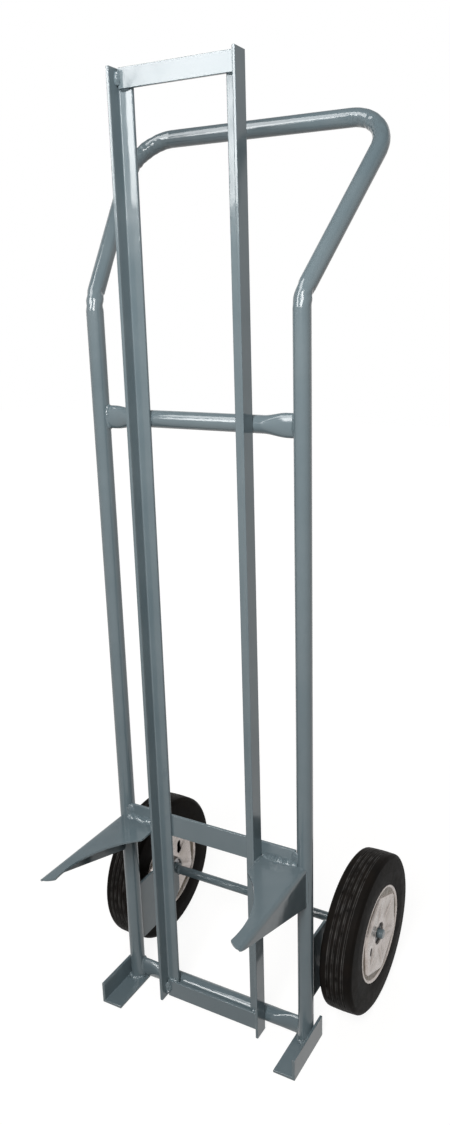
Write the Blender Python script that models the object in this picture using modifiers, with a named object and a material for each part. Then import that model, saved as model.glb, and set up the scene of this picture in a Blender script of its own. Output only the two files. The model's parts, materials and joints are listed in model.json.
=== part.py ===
"""Pail hand truck: a bent tube frame with two angle rails, two pail prongs and two solid-tyred wheels.

Metres, +Z up. The load side faces -Y, and +X is to the right of someone who faces the load side.
The origin is on the floor, at the middle of the footprint.
"""

import math

import bmesh
import bpy
from mathutils import Matrix, Vector

COLLECTION = "pail_hand_truck"
SIDES = {"right": 1, "left": -1}

# Fits between pieces
GAP = 0.0003  # between two pieces that touch or are welded
OVERRUN = 0.01  # how far a cutter runs past what it cuts

# Bent frame tube
TUBE_OD = 0.0254
TUBE_WALL = 0.0021
POST_SPREAD = 0.1676  # from the middle of the truck to a post's axis
POST_BEND_HEIGHT = 1.1693
POST_BEND_RADIUS = 0.045
HANDLE_SPREAD = 0.2198  # from the middle of the truck to an arm's axis at the grip
HANDLE_SETBACK = 0.196  # how far the grip lies behind the posts
HANDLE_HEIGHT = 1.4113
HANDLE_BEND_RADIUS = 0.059

# Cross tubes, whose ends are pressed oval before they are welded to the posts
UPPER_CROSS_HEIGHT = 1.0013
LOWER_CROSS_HEIGHT = 0.0236
CROSS_END_HEIGHT = 0.034
CROSS_END_DEPTH = 0.015
CROSS_FLAT_LENGTH = 0.012  # length of the part that is fully pressed
CROSS_TAPER_LENGTH = 0.036  # length over which the tube goes from round to pressed

# Angle rails
RAIL_LEG = 0.0254
RAIL_THICKNESS = 0.00476
RAIL_ROOT_RADIUS = 0.002
RAIL_TOE_RADIUS = 0.0015
RAIL_SPREAD = 0.0967  # from the middle of the truck to a rail's outer face
RAIL_AHEAD = 0.0089  # how far the rails' backs lie ahead of the posts' axis
RAIL_BASE = 0.0035
RAIL_TOP = 1.4573

# Flat bars
BAR_THICKNESS = 0.00476
BAR_EDGE_RADIUS = 0.0006
TOP_BAR_HEIGHT = 0.0254
MIDDLE_BAR_HEIGHT = 0.0381
MIDDLE_BAR_BASE = 0.3188
BOTTOM_BAR_HEIGHT = 0.03175

# Pail prongs
PRONG_THICKNESS = 0.0032
PRONG_BEND_RADIUS = 0.005
PRONG_TOP = 0.3333
PRONG_REACH = 0.208  # how far a tip lies ahead of the posts' axis
PRONG_OUTSET = 0.0074  # from a post's axis out to the flange's outer face
PRONG_FLANGE_DEPTH = 0.0674
PRONG_TIP_DEPTH = 0.0045
PRONG_TIP_SKEW = 0.0095
PRONG_TIP_BULGE_SHARE = 0.6
PAIL_RADIUS = 0.1544
PAIL_AHEAD = 0.177  # how far the pail's axis lies ahead of the posts' axis

# Feet, cut from a larger angle
FOOT_LEG = 0.0381
FOOT_THICKNESS = 0.00476
FOOT_ROOT_RADIUS = 0.0006
FOOT_TOE_RADIUS = 0.0015
FOOT_AHEAD = 0.0785
FOOT_BEHIND = 0.0239
FOOT_POST_CLEARANCE = 0.0009

# Axle brackets
BRACKET_THICKNESS = 0.00476
BRACKET_BASE = 0.0688
BRACKET_TOP = 0.1807
BRACKET_SEAT = 0.002  # how deep the axle lies in the rear edge
BRACKET_UPPER_CUT = 0.041
BRACKET_UPPER_CUT_BACK = 0.0615
BRACKET_LOWER_CUT = 0.0265

# Axle
AXLE_OD = 0.015875
AXLE_SETBACK = 0.141
AXLE_CHAMFER = 0.0012
AXLE_BEYOND_WHEEL = 0.0336  # from the wheel's middle plane to the axle's end

# Tyre
TYRE_RADIUS = 0.1324
TYRE_WIDTH = 0.0572
TYRE_BORE = 0.163
TYRE_BULGE = 0.0006
TYRE_SHOULDER_DROP = 0.0010
TYRE_SHOULDER_WIDTH = 0.048
TYRE_BEVEL_DROP = 0.0065
TYRE_POST_CLEARANCE = 0.0035
RIB_COUNT = 5
RIB_PITCH = 0.0086
GROOVE_WIDTH = 0.0022
GROOVE_DEPTH = 0.0022

# Pressed rim halves
RIM_SHEET = 0.0016
RIM_SEAT_GAP = 0.0007
RIM_LIP_INSET = 0.0003  # from the tyre's side to the lip's outside
RIM_LIP_WIDTH = 0.0042
RIM_FLOOR_DEPTH = 0.0026
RIM_BEAD_RADIUS = 0.0010
RIM_TURN = math.radians(5)
HEX_FACES = 6
HEX_CORNER_RADIUS = 0.0732
HEX_STEP = 0.0020
HEX_RISE = 0.0016
HUB_DISH_RADIUS = 0.0265
HUB_DISH_DROP = 0.0016
OUTER_RIM_HOLE = 0.0372
VALVE_HOLE = 0.0135
VALVE_HOLE_OFFSET = 0.042
VALVE_HOLE_TURN = math.radians(-85)
SLOT_LENGTH = 0.029
SLOT_WIDTH = 0.010
SLOT_OFFSET = 0.039
SLOT_TURN = math.radians(133)
SLOT_LEAN = math.radians(-42)

# Hub tube, which ends behind the outer rim half and stands out of the inner one
HUB_OD = 0.0413
HUB_WALL = 0.0029
HUB_SHOULDER = 0.003
HUB_INSIDE = 0.0369  # from the wheel's middle plane to the inner end
OUTER_BEARING_RECESS = 0.0045
INNER_BEARING_RECESS = 0.003

# Ball bearings
BEARING_WIDTH = 0.0111
OUTER_RACE_WALL = 0.0035
INNER_RACE_OD = 0.0216
BEARING_SHIELD = 0.0008
SHIELD_RECESS = 0.0005
SHAFT_CLEARANCE = 0.0001

# Washers, spacers and cotter pins
WASHER_OD = 0.030
WASHER_THICKNESS = 0.0025
SPACER_WALL = 0.003
COTTER_WIRE = 0.0016
COTTER_SLOT = 0.0003  # between the two legs
COTTER_EYE_RADIUS = 0.0025
COTTER_LEG_LENGTH = 0.0045
COTTER_WRAP = math.radians(95)  # how far the lower leg is bent round the axle

# Fineness of the curved faces
TUBE_BEVEL_RESOLUTION = 6
BEND_STEP = math.radians(13)  # turn of a tube's axis from one ring to the next
FOLD_STEPS = 5
CROSS_SECTION_POINTS = 16
TYRE_STEPS = 36
RIM_STEPS = 30
RING_STEPS = 20
ARC_STEPS = 12
COTTER_BEVEL_RESOLUTION = 1
QUARTER = math.pi / 2

# Places worked out from the sizes above
TUBE_RADIUS = TUBE_OD / 2
AXLE_RADIUS = AXLE_OD / 2
POST_Y = (PRONG_REACH - AXLE_SETBACK - TYRE_RADIUS) / 2
RAIL_BACK_Y = POST_Y - RAIL_AHEAD
RAIL_FRONT_Y = RAIL_BACK_Y - RAIL_LEG
RAIL_WEB_FRONT_Y = RAIL_BACK_Y - RAIL_THICKNESS
FRAME_BASE = FOOT_THICKNESS + GAP
CROSS_Y = RAIL_BACK_Y + GAP + TUBE_RADIUS
MIDDLE_BAR_FRONT_Y = RAIL_BACK_Y + GAP
FLANGE_OUTER_X = POST_SPREAD + PRONG_OUTSET
FOOT_FLANGE_X = POST_SPREAD + TUBE_RADIUS + FOOT_POST_CLEARANCE
AXLE_Y = POST_Y + AXLE_SETBACK
AXLE_Z = TYRE_RADIUS
WHEEL_X = POST_SPREAD + TUBE_RADIUS + TYRE_POST_CLEARANCE + TYRE_WIDTH / 2
RIM_LIP_TOP = TYRE_WIDTH / 2 - RIM_LIP_INSET - RIM_SHEET / 2
RIM_FLOOR = RIM_LIP_TOP - RIM_FLOOR_DEPTH
RIM_CREST = RIM_FLOOR + HEX_RISE
RIM_DISH = RIM_CREST - HUB_DISH_DROP
HUB_OUTSIDE = RIM_DISH - RIM_SHEET / 2 - GAP
OUTER_BEARING_FACE = HUB_OUTSIDE - OUTER_BEARING_RECESS
INNER_BEARING_FACE = HUB_INSIDE - INNER_BEARING_RECESS
BEARING_OD = HUB_OD - 2 * HUB_WALL - 2 * GAP
WASHER_FACE = OUTER_BEARING_FACE + GAP + WASHER_THICKNESS
COTTER_LEG_OFFSET = (COTTER_WIRE + COTTER_SLOT) / 2
COTTER_HOLE_RADIUS = COTTER_LEG_OFFSET + COTTER_WIRE / 2 + GAP
COTTER_X = WHEEL_X + WASHER_FACE + GAP + COTTER_WIRE / 2

# Colours, as linear values
PAINT_COLOUR = (0.135, 0.175, 0.180, 1.0)
RUBBER_COLOUR = (0.012, 0.012, 0.013, 1.0)
RIM_COLOUR = (0.50, 0.49, 0.48, 1.0)
HUB_COLOUR = (0.42, 0.42, 0.42, 1.0)
BEARING_COLOUR = (0.30, 0.30, 0.31, 1.0)
ZINC_COLOUR = (0.55, 0.55, 0.53, 1.0)


def clear_scene():
    for obj in list(bpy.data.objects):
        bpy.data.objects.remove(obj, do_unlink=True)


def new_collection(name, rendered):
    collection = bpy.data.collections.new(name)
    bpy.context.scene.collection.children.link(collection)
    collection.hide_render = not rendered
    return collection


def new_material(name, colour, metallic, roughness):
    material = bpy.data.materials.new(name)
    material.use_nodes = True
    shader = material.node_tree.nodes["Principled BSDF"]
    shader.inputs["Base Color"].default_value = colour
    shader.inputs["Metallic"].default_value = metallic
    shader.inputs["Roughness"].default_value = roughness
    material.diffuse_color = colour
    return material


class Shop:
    """The two collections that pieces and cutters go into, and the materials."""

    def __init__(self):
        self.parts = new_collection(COLLECTION, rendered=True)
        self.cutters = new_collection(COLLECTION + "_cutters", rendered=False)
        self.paint = new_material("grey_enamel", PAINT_COLOUR, 0.0, 0.3)
        self.rubber = new_material("tyre_rubber", RUBBER_COLOUR, 0.0, 0.6)
        self.rim = new_material("silver_paint", RIM_COLOUR, 0.3, 0.4)
        self.hub = new_material("hub_steel", HUB_COLOUR, 0.9, 0.4)
        self.bearing = new_material("bearing_steel", BEARING_COLOUR, 1.0, 0.3)
        self.zinc = new_material("zinc_plate", ZINC_COLOUR, 1.0, 0.35)


def place(obj, shop, material, cutter=False):
    """Links an object as a piece, or as a cutter that isn't rendered."""
    (shop.cutters if cutter else shop.parts).objects.link(obj)
    if cutter:
        obj.hide_render = True
        obj.display_type = "WIRE"
    else:
        obj.data.materials.append(material)
    return obj


def smooth(obj, degrees=35):
    obj.data.shade_smooth()
    obj.data.set_sharp_from_angle(angle=math.radians(degrees))


def arc(centre, radius, start, end, steps):
    """Points of an arc in a plane, from the angle start to the angle end."""
    angles = [start + (end - start) * i / steps for i in range(steps + 1)]
    return [(centre[0] + radius * math.cos(a), centre[1] + radius * math.sin(a)) for a in angles]


def flat_outline(name, points, depth, shop, material):
    """A closed outline in the object's XY plane, as thick as depth along its Z."""
    curve = bpy.data.curves.new(name, "CURVE")
    curve.dimensions = "2D"
    curve.fill_mode = "BOTH"
    curve.extrude = depth / 2
    spline = curve.splines.new("POLY")
    spline.points.add(len(points) - 1)
    for point, (x, y) in zip(spline.points, points):
        point.co = (x, y, 0, 1)
    spline.use_cyclic_u = True
    return place(bpy.data.objects.new(name, curve), shop, material)


def as_mesh(obj, shop, cutter=False):
    """The curve object made a mesh with its caps welded, in the same place."""
    bpy.context.view_layer.update()
    graph = bpy.context.evaluated_depsgraph_get()
    mesh = bpy.data.meshes.new_from_object(obj.evaluated_get(graph))
    work = bmesh.new()
    work.from_mesh(mesh)
    bmesh.ops.remove_doubles(work, verts=work.verts, dist=GAP / 100)
    bmesh.ops.recalc_face_normals(work, faces=work.faces)
    work.to_mesh(mesh)
    work.free()
    name, matrix = obj.name, obj.matrix_world.copy()
    bpy.data.objects.remove(obj, do_unlink=True)
    solid = bpy.data.objects.new(name, mesh)
    solid.matrix_world = matrix
    if cutter:
        mesh.materials.clear()
        return place(solid, shop, None, cutter=True)
    shop.parts.objects.link(solid)
    return solid


def box(name, low, high, shop, material):
    """A rectangular bar between two corners, with slightly rounded long edges."""
    low, high = Vector(low), Vector(high)
    mesh = bpy.data.meshes.new(name)
    work = bmesh.new()
    bmesh.ops.create_cube(work, size=1, matrix=Matrix.Diagonal((*(high - low), 1)))
    work.to_mesh(mesh)
    work.free()
    obj = place(bpy.data.objects.new(name, mesh), shop, material)
    obj.location = (low + high) / 2
    add_bevel(obj, BAR_EDGE_RADIUS, 1)
    return obj


def cylinder(name, radius, length, segments, shop):
    """A cutter along the object's Z whose flats lie at the radius."""
    mesh = bpy.data.meshes.new(name)
    work = bmesh.new()
    corner = radius / math.cos(math.pi / segments)
    bmesh.ops.create_cone(
        work, cap_ends=True, segments=segments, radius1=corner, radius2=corner, depth=length
    )
    work.to_mesh(mesh)
    work.free()
    return place(bpy.data.objects.new(name, mesh), shop, None, cutter=True)


def turned(name, profile, steps, shop, material, cutter=False):
    """A profile of (radius, height) points turned about the object's Z.

    The points run down the outer side. Those that don't end on the axis close on themselves.
    """
    mesh = bpy.data.meshes.new(name)
    count = len(profile)
    on_axis = profile[0][0] == 0 and profile[-1][0] == 0
    edges = [(i, i + 1) for i in range(count - 1)]
    if not on_axis:
        edges.append((count - 1, 0))
    mesh.from_pydata([(r, 0, z) for r, z in profile], edges, [])
    obj = place(bpy.data.objects.new(name, mesh), shop, material, cutter)
    screw = obj.modifiers.new("turn", "SCREW")
    screw.steps = steps
    screw.render_steps = steps
    screw.use_merge_vertices = True
    screw.merge_threshold = GAP / 30
    screw.use_smooth_shade = True
    return obj


def add_bevel(obj, width, segments):
    bevel = obj.modifiers.new("edges", "BEVEL")
    bevel.width = width
    bevel.segments = segments
    bevel.limit_method = "ANGLE"
    return bevel


def add_boolean(obj, cutter, operation):
    boolean = obj.modifiers.new(operation.lower(), "BOOLEAN")
    boolean.operation = operation
    boolean.object = cutter
    boolean.solver = "EXACT"
    return boolean


def add_sheet(obj, thickness):
    """Gives an open surface a thickness, half to each side."""
    solidify = obj.modifiers.new("sheet", "SOLIDIFY")
    solidify.thickness = thickness
    solidify.offset = 0
    solidify.use_even_offset = True
    return solidify


def rounded_path(corners, radii):
    """A path through the corners, with the bend at each inner corner as an arc of points."""
    path = [corners[0]]
    for before, corner, after, radius in zip(corners, corners[1:], corners[2:], radii):
        to_before = (before - corner).normalized()
        to_after = (after - corner).normalized()
        half_angle = to_before.angle(to_after) / 2
        middle = (to_before + to_after).normalized()
        centre = corner + middle * (radius / math.sin(half_angle))
        start = corner + to_before * (radius / math.tan(half_angle)) - centre
        turn = math.pi - 2 * half_angle
        axis = to_after.cross(to_before)
        steps = round(turn / BEND_STEP)
        for i in range(steps + 1):
            path.append(centre + Matrix.Rotation(turn * i / steps, 3, axis) @ start)
    path.append(corners[-1])
    return path


def tube_curve(name, path, radius, bevel_resolution, capped, shop, material):
    curve = bpy.data.curves.new(name, "CURVE")
    curve.dimensions = "3D"
    curve.bevel_depth = radius
    curve.bevel_resolution = bevel_resolution
    curve.use_fill_caps = capped
    spline = curve.splines.new("POLY")
    spline.points.add(len(path) - 1)
    for point, place_at in zip(spline.points, path):
        point.co = (*place_at, 1)
    spline.use_smooth = True
    return place(bpy.data.objects.new(name, curve), shop, material)


def post_cutter(name, side, base, top, shop):
    """Stands where a post stands, a gap larger, to shape what is welded round the post."""
    cutter = cylinder(name, TUBE_RADIUS + GAP, top - base, RING_STEPS, shop)
    cutter.location = (side * POST_SPREAD, POST_Y, (base + top) / 2)
    return cutter


def make_frame_tube(shop):
    """One tube: up from the left foot, back and out to the grip, across, and down again."""
    grip_y = POST_Y + HANDLE_SETBACK
    corners = [
        Vector((-POST_SPREAD, POST_Y, FRAME_BASE)),
        Vector((-POST_SPREAD, POST_Y, POST_BEND_HEIGHT)),
        Vector((-HANDLE_SPREAD, grip_y, HANDLE_HEIGHT)),
        Vector((HANDLE_SPREAD, grip_y, HANDLE_HEIGHT)),
        Vector((POST_SPREAD, POST_Y, POST_BEND_HEIGHT)),
        Vector((POST_SPREAD, POST_Y, FRAME_BASE)),
    ]
    radii = [POST_BEND_RADIUS, HANDLE_BEND_RADIUS, HANDLE_BEND_RADIUS, POST_BEND_RADIUS]
    path = rounded_path(corners, radii)
    middle_radius = TUBE_RADIUS - TUBE_WALL / 2
    tube = tube_curve(
        "frame_tube", path, middle_radius, TUBE_BEVEL_RESOLUTION, False, shop, shop.paint
    )
    tube = as_mesh(tube, shop)
    add_sheet(tube, TUBE_WALL)
    smooth(tube)


def oval_ring(work, x, half_depth, half_height):
    """A ring of vertices across X, with the given half sizes along Y and Z."""
    ring = []
    for i in range(CROSS_SECTION_POINTS):
        angle = 2 * math.pi * i / CROSS_SECTION_POINTS
        ring.append(work.verts.new((x, half_depth * math.cos(angle), half_height * math.sin(angle))))
    return ring


def bridge(work, rings):
    """Faces between each ring and the next."""
    for ring, following in zip(rings, rings[1:]):
        for i in range(len(ring)):
            j = (i + 1) % len(ring)
            work.faces.new((ring[i], ring[j], following[j], following[i]))


def make_cross_tube(name, height, shop):
    """A tube between the posts, round in the middle and pressed oval at its ends."""
    round_half = TUBE_RADIUS - TUBE_WALL / 2
    pressed_depth = (CROSS_END_DEPTH - TUBE_WALL) / 2
    pressed_height = (CROSS_END_HEIGHT - TUBE_WALL) / 2
    end_x = POST_SPREAD
    flat_x = POST_SPREAD - TUBE_RADIUS - CROSS_FLAT_LENGTH
    steps = 3
    stations = [(end_x, 1), (flat_x, 1)]
    for i in range(1, steps + 1):
        share = i / steps
        stations.append((flat_x - CROSS_TAPER_LENGTH * share, (1 + math.cos(math.pi * share)) / 2))
    stations += [(-x, pressed) for x, pressed in reversed(stations)]
    work = bmesh.new()
    rings = []
    for x, pressed in stations:
        half_depth = round_half + (pressed_depth - round_half) * pressed
        half_height = round_half + (pressed_height - round_half) * pressed
        rings.append(oval_ring(work, x, half_depth, half_height))
    bridge(work, rings)
    bmesh.ops.recalc_face_normals(work, faces=work.faces)
    mesh = bpy.data.meshes.new(name)
    work.to_mesh(mesh)
    work.free()
    tube = place(bpy.data.objects.new(name, mesh), shop, shop.paint)
    tube.location = (0, CROSS_Y, height)
    add_sheet(tube, TUBE_WALL)
    for side_name, side in SIDES.items():
        base = height - CROSS_END_HEIGHT
        top = height + CROSS_END_HEIGHT
        cutter = post_cutter(f"{name}_cope_{side_name}", side, base, top, shop)
        add_boolean(tube, cutter, "DIFFERENCE")
    smooth(tube)


def angle_outline(leg_across, leg_up, thickness, root_radius, toe_radius):
    """The section of an angle iron, its heel at 0, 0 and its legs along +X and +Y."""
    toe_across = leg_across - toe_radius
    toe_up = leg_up - toe_radius
    toe = thickness - toe_radius
    root = thickness + root_radius
    points = [(0, 0), (leg_across, 0)]
    points += arc((toe_across, toe), toe_radius, 0, QUARTER, 3)
    points += arc((root, root), root_radius, -QUARTER, -2 * QUARTER, 4)
    points += arc((toe, toe_up), toe_radius, 0, QUARTER, 3)
    points.append((0, leg_up))
    return points


def make_rail(side_name, side, shop):
    """An angle whose one leg faces the load and whose other leg stands forward at its outer edge."""
    section = angle_outline(
        RAIL_LEG, RAIL_LEG, RAIL_THICKNESS, RAIL_ROOT_RADIUS, RAIL_TOE_RADIUS
    )
    outline = [(-side * x, -y) for x, y in section]
    length = RAIL_TOP - RAIL_BASE
    rail = flat_outline(f"{side_name}_rail", outline, length, shop, shop.paint)
    rail.location = (side * RAIL_SPREAD, RAIL_BACK_Y, RAIL_BASE + length / 2)


def make_flat_bars(shop):
    """Two bars in front of the rails' webs, and one behind them that reaches the posts."""
    inside = RAIL_SPREAD - RAIL_THICKNESS - RAIL_ROOT_RADIUS - GAP
    back_y = RAIL_WEB_FRONT_Y - GAP
    front_y = back_y - BAR_THICKNESS
    for name, base, top in (
        ("top_bar", RAIL_TOP - TOP_BAR_HEIGHT, RAIL_TOP),
        ("bottom_bar", RAIL_BASE, RAIL_BASE + BOTTOM_BAR_HEIGHT),
    ):
        box(name, (-inside, front_y, base), (inside, back_y, top), shop, shop.paint)
    middle_back_y = MIDDLE_BAR_FRONT_Y + BAR_THICKNESS
    from_post = max(abs(MIDDLE_BAR_FRONT_Y - POST_Y), abs(middle_back_y - POST_Y))
    near_post = min(abs(MIDDLE_BAR_FRONT_Y - POST_Y), abs(middle_back_y - POST_Y), from_post)
    reach = POST_SPREAD - math.sqrt((TUBE_RADIUS + GAP) ** 2 - near_post**2)
    top = MIDDLE_BAR_BASE + MIDDLE_BAR_HEIGHT
    low = (-reach, MIDDLE_BAR_FRONT_Y, MIDDLE_BAR_BASE)
    box("middle_bar", low, (reach, middle_back_y, top), shop, shop.paint)


def prong_plan(side):
    """The prong seen from above: straight beside the rail, hollow round the pail, pointed at the tip."""
    inner_x = RAIL_SPREAD + GAP
    rear_y = MIDDLE_BAR_FRONT_Y - GAP
    pail_y = POST_Y - PAIL_AHEAD
    tip_y = POST_Y - PRONG_REACH
    start = math.acos(inner_x / PAIL_RADIUS)
    end = math.asin((tip_y + PRONG_TIP_SKEW - pail_y) / PAIL_RADIUS)
    hollow = arc((0, pail_y), PAIL_RADIUS, start, end, ARC_STEPS)
    tip_inner_x = hollow[-1][0]
    bulge_x = (tip_inner_x + FLANGE_OUTER_X) / 2
    bulge_y = tip_y + PRONG_TIP_SKEW * (1 - PRONG_TIP_BULGE_SHARE) / 2
    outside_x = FLANGE_OUTER_X + OVERRUN
    points = [(inner_x, rear_y), *hollow, (bulge_x, bulge_y)]
    points += [(FLANGE_OUTER_X, tip_y), (outside_x, tip_y), (outside_x, rear_y)]
    return [(side * x, y) for x, y in points]


def prong_side_view():
    """The prong seen from the side, as (y, z): its flange's lower edge runs straight to the tip."""
    tip_y = POST_Y - PRONG_REACH
    post_front_y = POST_Y - TUBE_RADIUS
    tip_z = PRONG_TOP - PRONG_TIP_DEPTH
    slope = (PRONG_FLANGE_DEPTH - PRONG_TIP_DEPTH) / (post_front_y - tip_y)
    front_y = tip_y - OVERRUN
    rear_y = POST_Y + OVERRUN
    return [
        (front_y, tip_z + slope * OVERRUN),
        (rear_y, tip_z - slope * (rear_y - tip_y)),
        (rear_y, PRONG_TOP + OVERRUN),
        (front_y, PRONG_TOP + OVERRUN),
    ]


def make_prong(side_name, side, shop):
    """A plate folded down along its outer edge, then cut to its plan, its side and the post."""
    name = f"{side_name}_prong"
    middle_z = PRONG_TOP - PRONG_THICKNESS / 2
    flange_x = FLANGE_OUTER_X - PRONG_THICKNESS / 2
    bend_x = flange_x - PRONG_BEND_RADIUS
    bend_z = middle_z - PRONG_BEND_RADIUS
    section = [(RAIL_SPREAD - OVERRUN, middle_z)]
    section += arc((bend_x, bend_z), PRONG_BEND_RADIUS, QUARTER, 0, FOLD_STEPS)
    section.append((flange_x, PRONG_TOP - PRONG_FLANGE_DEPTH - OVERRUN))
    front_y = POST_Y - PRONG_REACH - OVERRUN
    rear_y = POST_Y + OVERRUN
    work = bmesh.new()
    front = [work.verts.new((side * x, front_y, z)) for x, z in section]
    edges = [work.edges.new(pair) for pair in zip(front, front[1:])]
    swept = bmesh.ops.extrude_edge_only(work, edges=edges)["geom"]
    moved = [item for item in swept if isinstance(item, bmesh.types.BMVert)]
    bmesh.ops.translate(work, verts=moved, vec=(0, rear_y - front_y, 0))
    bmesh.ops.recalc_face_normals(work, faces=work.faces)
    mesh = bpy.data.meshes.new(name)
    work.to_mesh(mesh)
    work.free()
    prong = place(bpy.data.objects.new(name, mesh), shop, shop.paint)
    add_sheet(prong, PRONG_THICKNESS)

    height = PRONG_FLANGE_DEPTH + 2 * OVERRUN
    plan = flat_outline(f"{name}_plan", prong_plan(side), height + OVERRUN, shop, shop.paint)
    plan.location.z = PRONG_TOP - height / 2 + OVERRUN
    add_boolean(prong, as_mesh(plan, shop, cutter=True), "INTERSECT")
    width = FLANGE_OUTER_X + OVERRUN
    profile = flat_outline(f"{name}_side", prong_side_view(), width, shop, shop.paint)
    profile.rotation_euler = (QUARTER, 0, QUARTER)
    profile.location.x = side * width / 2 + side * OVERRUN
    add_boolean(prong, as_mesh(profile, shop, cutter=True), "INTERSECT")
    cutter = post_cutter(f"{name}_cope", side, PRONG_TOP - height, PRONG_TOP + OVERRUN, shop)
    add_boolean(prong, cutter, "DIFFERENCE")
    smooth(prong)


def make_foot(side_name, side, shop):
    """A short angle under the post, its upright leg outside the post."""
    section = angle_outline(
        FOOT_LEG, FOOT_LEG, FOOT_THICKNESS, FOOT_ROOT_RADIUS, FOOT_TOE_RADIUS
    )
    outline = [(-side * x, y) for x, y in section]
    length = FOOT_AHEAD + FOOT_BEHIND
    foot = flat_outline(f"{side_name}_foot", outline, length, shop, shop.paint)
    foot.rotation_euler.x = QUARTER
    outer_x = FOOT_FLANGE_X + FOOT_THICKNESS
    foot.location = (side * outer_x, POST_Y + (FOOT_BEHIND - FOOT_AHEAD) / 2, 0)


def make_bracket(side_name, side, shop):
    """An upright plate from the back of a post to the axle, which lies in its rear edge."""
    front_y = POST_Y + TUBE_RADIUS + GAP
    rear_y = AXLE_Y - AXLE_RADIUS + BRACKET_SEAT
    outline = [
        (front_y, BRACKET_BASE),
        (rear_y - BRACKET_LOWER_CUT, BRACKET_BASE),
        (rear_y, BRACKET_BASE + BRACKET_LOWER_CUT),
        (rear_y, BRACKET_TOP - BRACKET_UPPER_CUT),
        (rear_y - BRACKET_UPPER_CUT_BACK, BRACKET_TOP),
        (front_y, BRACKET_TOP),
    ]
    name = f"{side_name}_axle_bracket"
    bracket = flat_outline(name, outline, BRACKET_THICKNESS, shop, shop.paint)
    bracket.rotation_euler = (QUARTER, 0, QUARTER)
    bracket.location.x = side * POST_SPREAD
    bracket = as_mesh(bracket, shop)
    width = BRACKET_THICKNESS + 2 * OVERRUN
    seat = cylinder(f"{name}_seat", AXLE_RADIUS + GAP, width, RING_STEPS, shop)
    seat.rotation_euler.y = QUARTER
    seat.location = (side * POST_SPREAD, AXLE_Y, AXLE_Z)
    add_boolean(bracket, seat, "DIFFERENCE")


def make_axle(shop):
    """A bar across both brackets, drilled at each end for a cotter pin."""
    half = WHEEL_X + AXLE_BEYOND_WHEEL
    neck = AXLE_RADIUS - AXLE_CHAMFER
    shoulder = half - AXLE_CHAMFER
    profile = [
        (0, half),
        (neck, half),
        (AXLE_RADIUS, shoulder),
        (AXLE_RADIUS, -shoulder),
        (neck, -half),
        (0, -half),
    ]
    axle = turned("axle", profile, RING_STEPS, shop, shop.paint)
    axle.rotation_euler.y = QUARTER
    axle.location = (0, AXLE_Y, AXLE_Z)
    for side_name, side in SIDES.items():
        drill = cylinder(
            f"axle_{side_name}_drill", COTTER_HOLE_RADIUS, AXLE_OD + 2 * OVERRUN, RING_STEPS, shop
        )
        drill.rotation_euler.x = QUARTER
        drill.location = (side * COTTER_X, AXLE_Y, AXLE_Z)
        add_boolean(axle, drill, "DIFFERENCE")


def tyre_profile():
    """The tyre's section as (radius, height): flat sides, bevelled shoulders and a ribbed tread."""
    side = TYRE_WIDTH / 2
    bore = TYRE_BORE / 2
    shoulder = TYRE_SHOULDER_WIDTH / 2
    crown_drop = TYRE_SHOULDER_DROP / shoulder**2

    def tread_radius(height):
        return TYRE_RADIUS - crown_drop * height**2

    side_top = TYRE_RADIUS - TYRE_BEVEL_DROP
    upper = [
        (bore, side - TYRE_BULGE),
        ((bore + side_top) / 2, side),
        (side_top, side - TYRE_BULGE),
        ((side_top + tread_radius(shoulder)) / 2 + TYRE_BULGE, (side + shoulder) / 2),
        (tread_radius(shoulder), shoulder),
    ]
    tread = []
    groove_count = RIB_COUNT - 1
    for i in range(groove_count):
        middle = RIB_PITCH * ((groove_count - 1) / 2 - i)
        high = middle + GROOVE_WIDTH / 2
        low = middle - GROOVE_WIDTH / 2
        floor = tread_radius(middle) - GROOVE_DEPTH
        tread += [
            (tread_radius(high), high),
            (floor, middle + GROOVE_WIDTH / 4),
            (floor, middle - GROOVE_WIDTH / 4),
            (tread_radius(low), low),
        ]
    lower = [(radius, -height) for radius, height in reversed(upper)]
    return upper + tread + lower


def rim_ring(work, radius, height, faces=0):
    """A ring of vertices: a circle or, with a number of faces, a polygon of that corner radius."""
    ring = []
    for i in range(RIM_STEPS):
        angle = 2 * math.pi * i / RIM_STEPS
        reach = radius
        if faces:
            half_face = math.pi / faces
            reach = radius * math.cos(half_face) / math.cos(angle % (2 * half_face) - half_face)
        ring.append(work.verts.new((reach * math.cos(angle), reach * math.sin(angle), height)))
    return ring


def rim_matrix(axle_point, outward):
    return wheel_matrix(axle_point, outward) @ Matrix.Rotation(RIM_TURN, 4, "Z")


def make_rim_half(name, axle_point, outward, hole_radius, shop):
    """A pressed half rim: a skirt under the tyre, a lip, and a six-sided boss dished to the hub."""
    skirt = TYRE_BORE / 2 - RIM_SEAT_GAP - RIM_SHEET / 2
    work = bmesh.new()
    rings = [
        rim_ring(work, skirt, GAP / 2),
        rim_ring(work, skirt, RIM_LIP_TOP - RIM_BEAD_RADIUS),
        rim_ring(work, skirt - RIM_BEAD_RADIUS, RIM_LIP_TOP),
        rim_ring(work, skirt - RIM_LIP_WIDTH, RIM_FLOOR),
        rim_ring(work, HEX_CORNER_RADIUS, RIM_FLOOR, HEX_FACES),
        rim_ring(work, HEX_CORNER_RADIUS - HEX_STEP, RIM_CREST, HEX_FACES),
        rim_ring(work, HUB_DISH_RADIUS, RIM_DISH),
        rim_ring(work, hole_radius, RIM_DISH),
    ]
    bridge(work, rings)
    bmesh.ops.recalc_face_normals(work, faces=work.faces)
    mesh = bpy.data.meshes.new(name)
    work.to_mesh(mesh)
    work.free()
    rim = place(bpy.data.objects.new(name, mesh), shop, shop.rim)
    add_sheet(rim, RIM_SHEET)
    rim.matrix_world = rim_matrix(axle_point, outward)
    return rim


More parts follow.
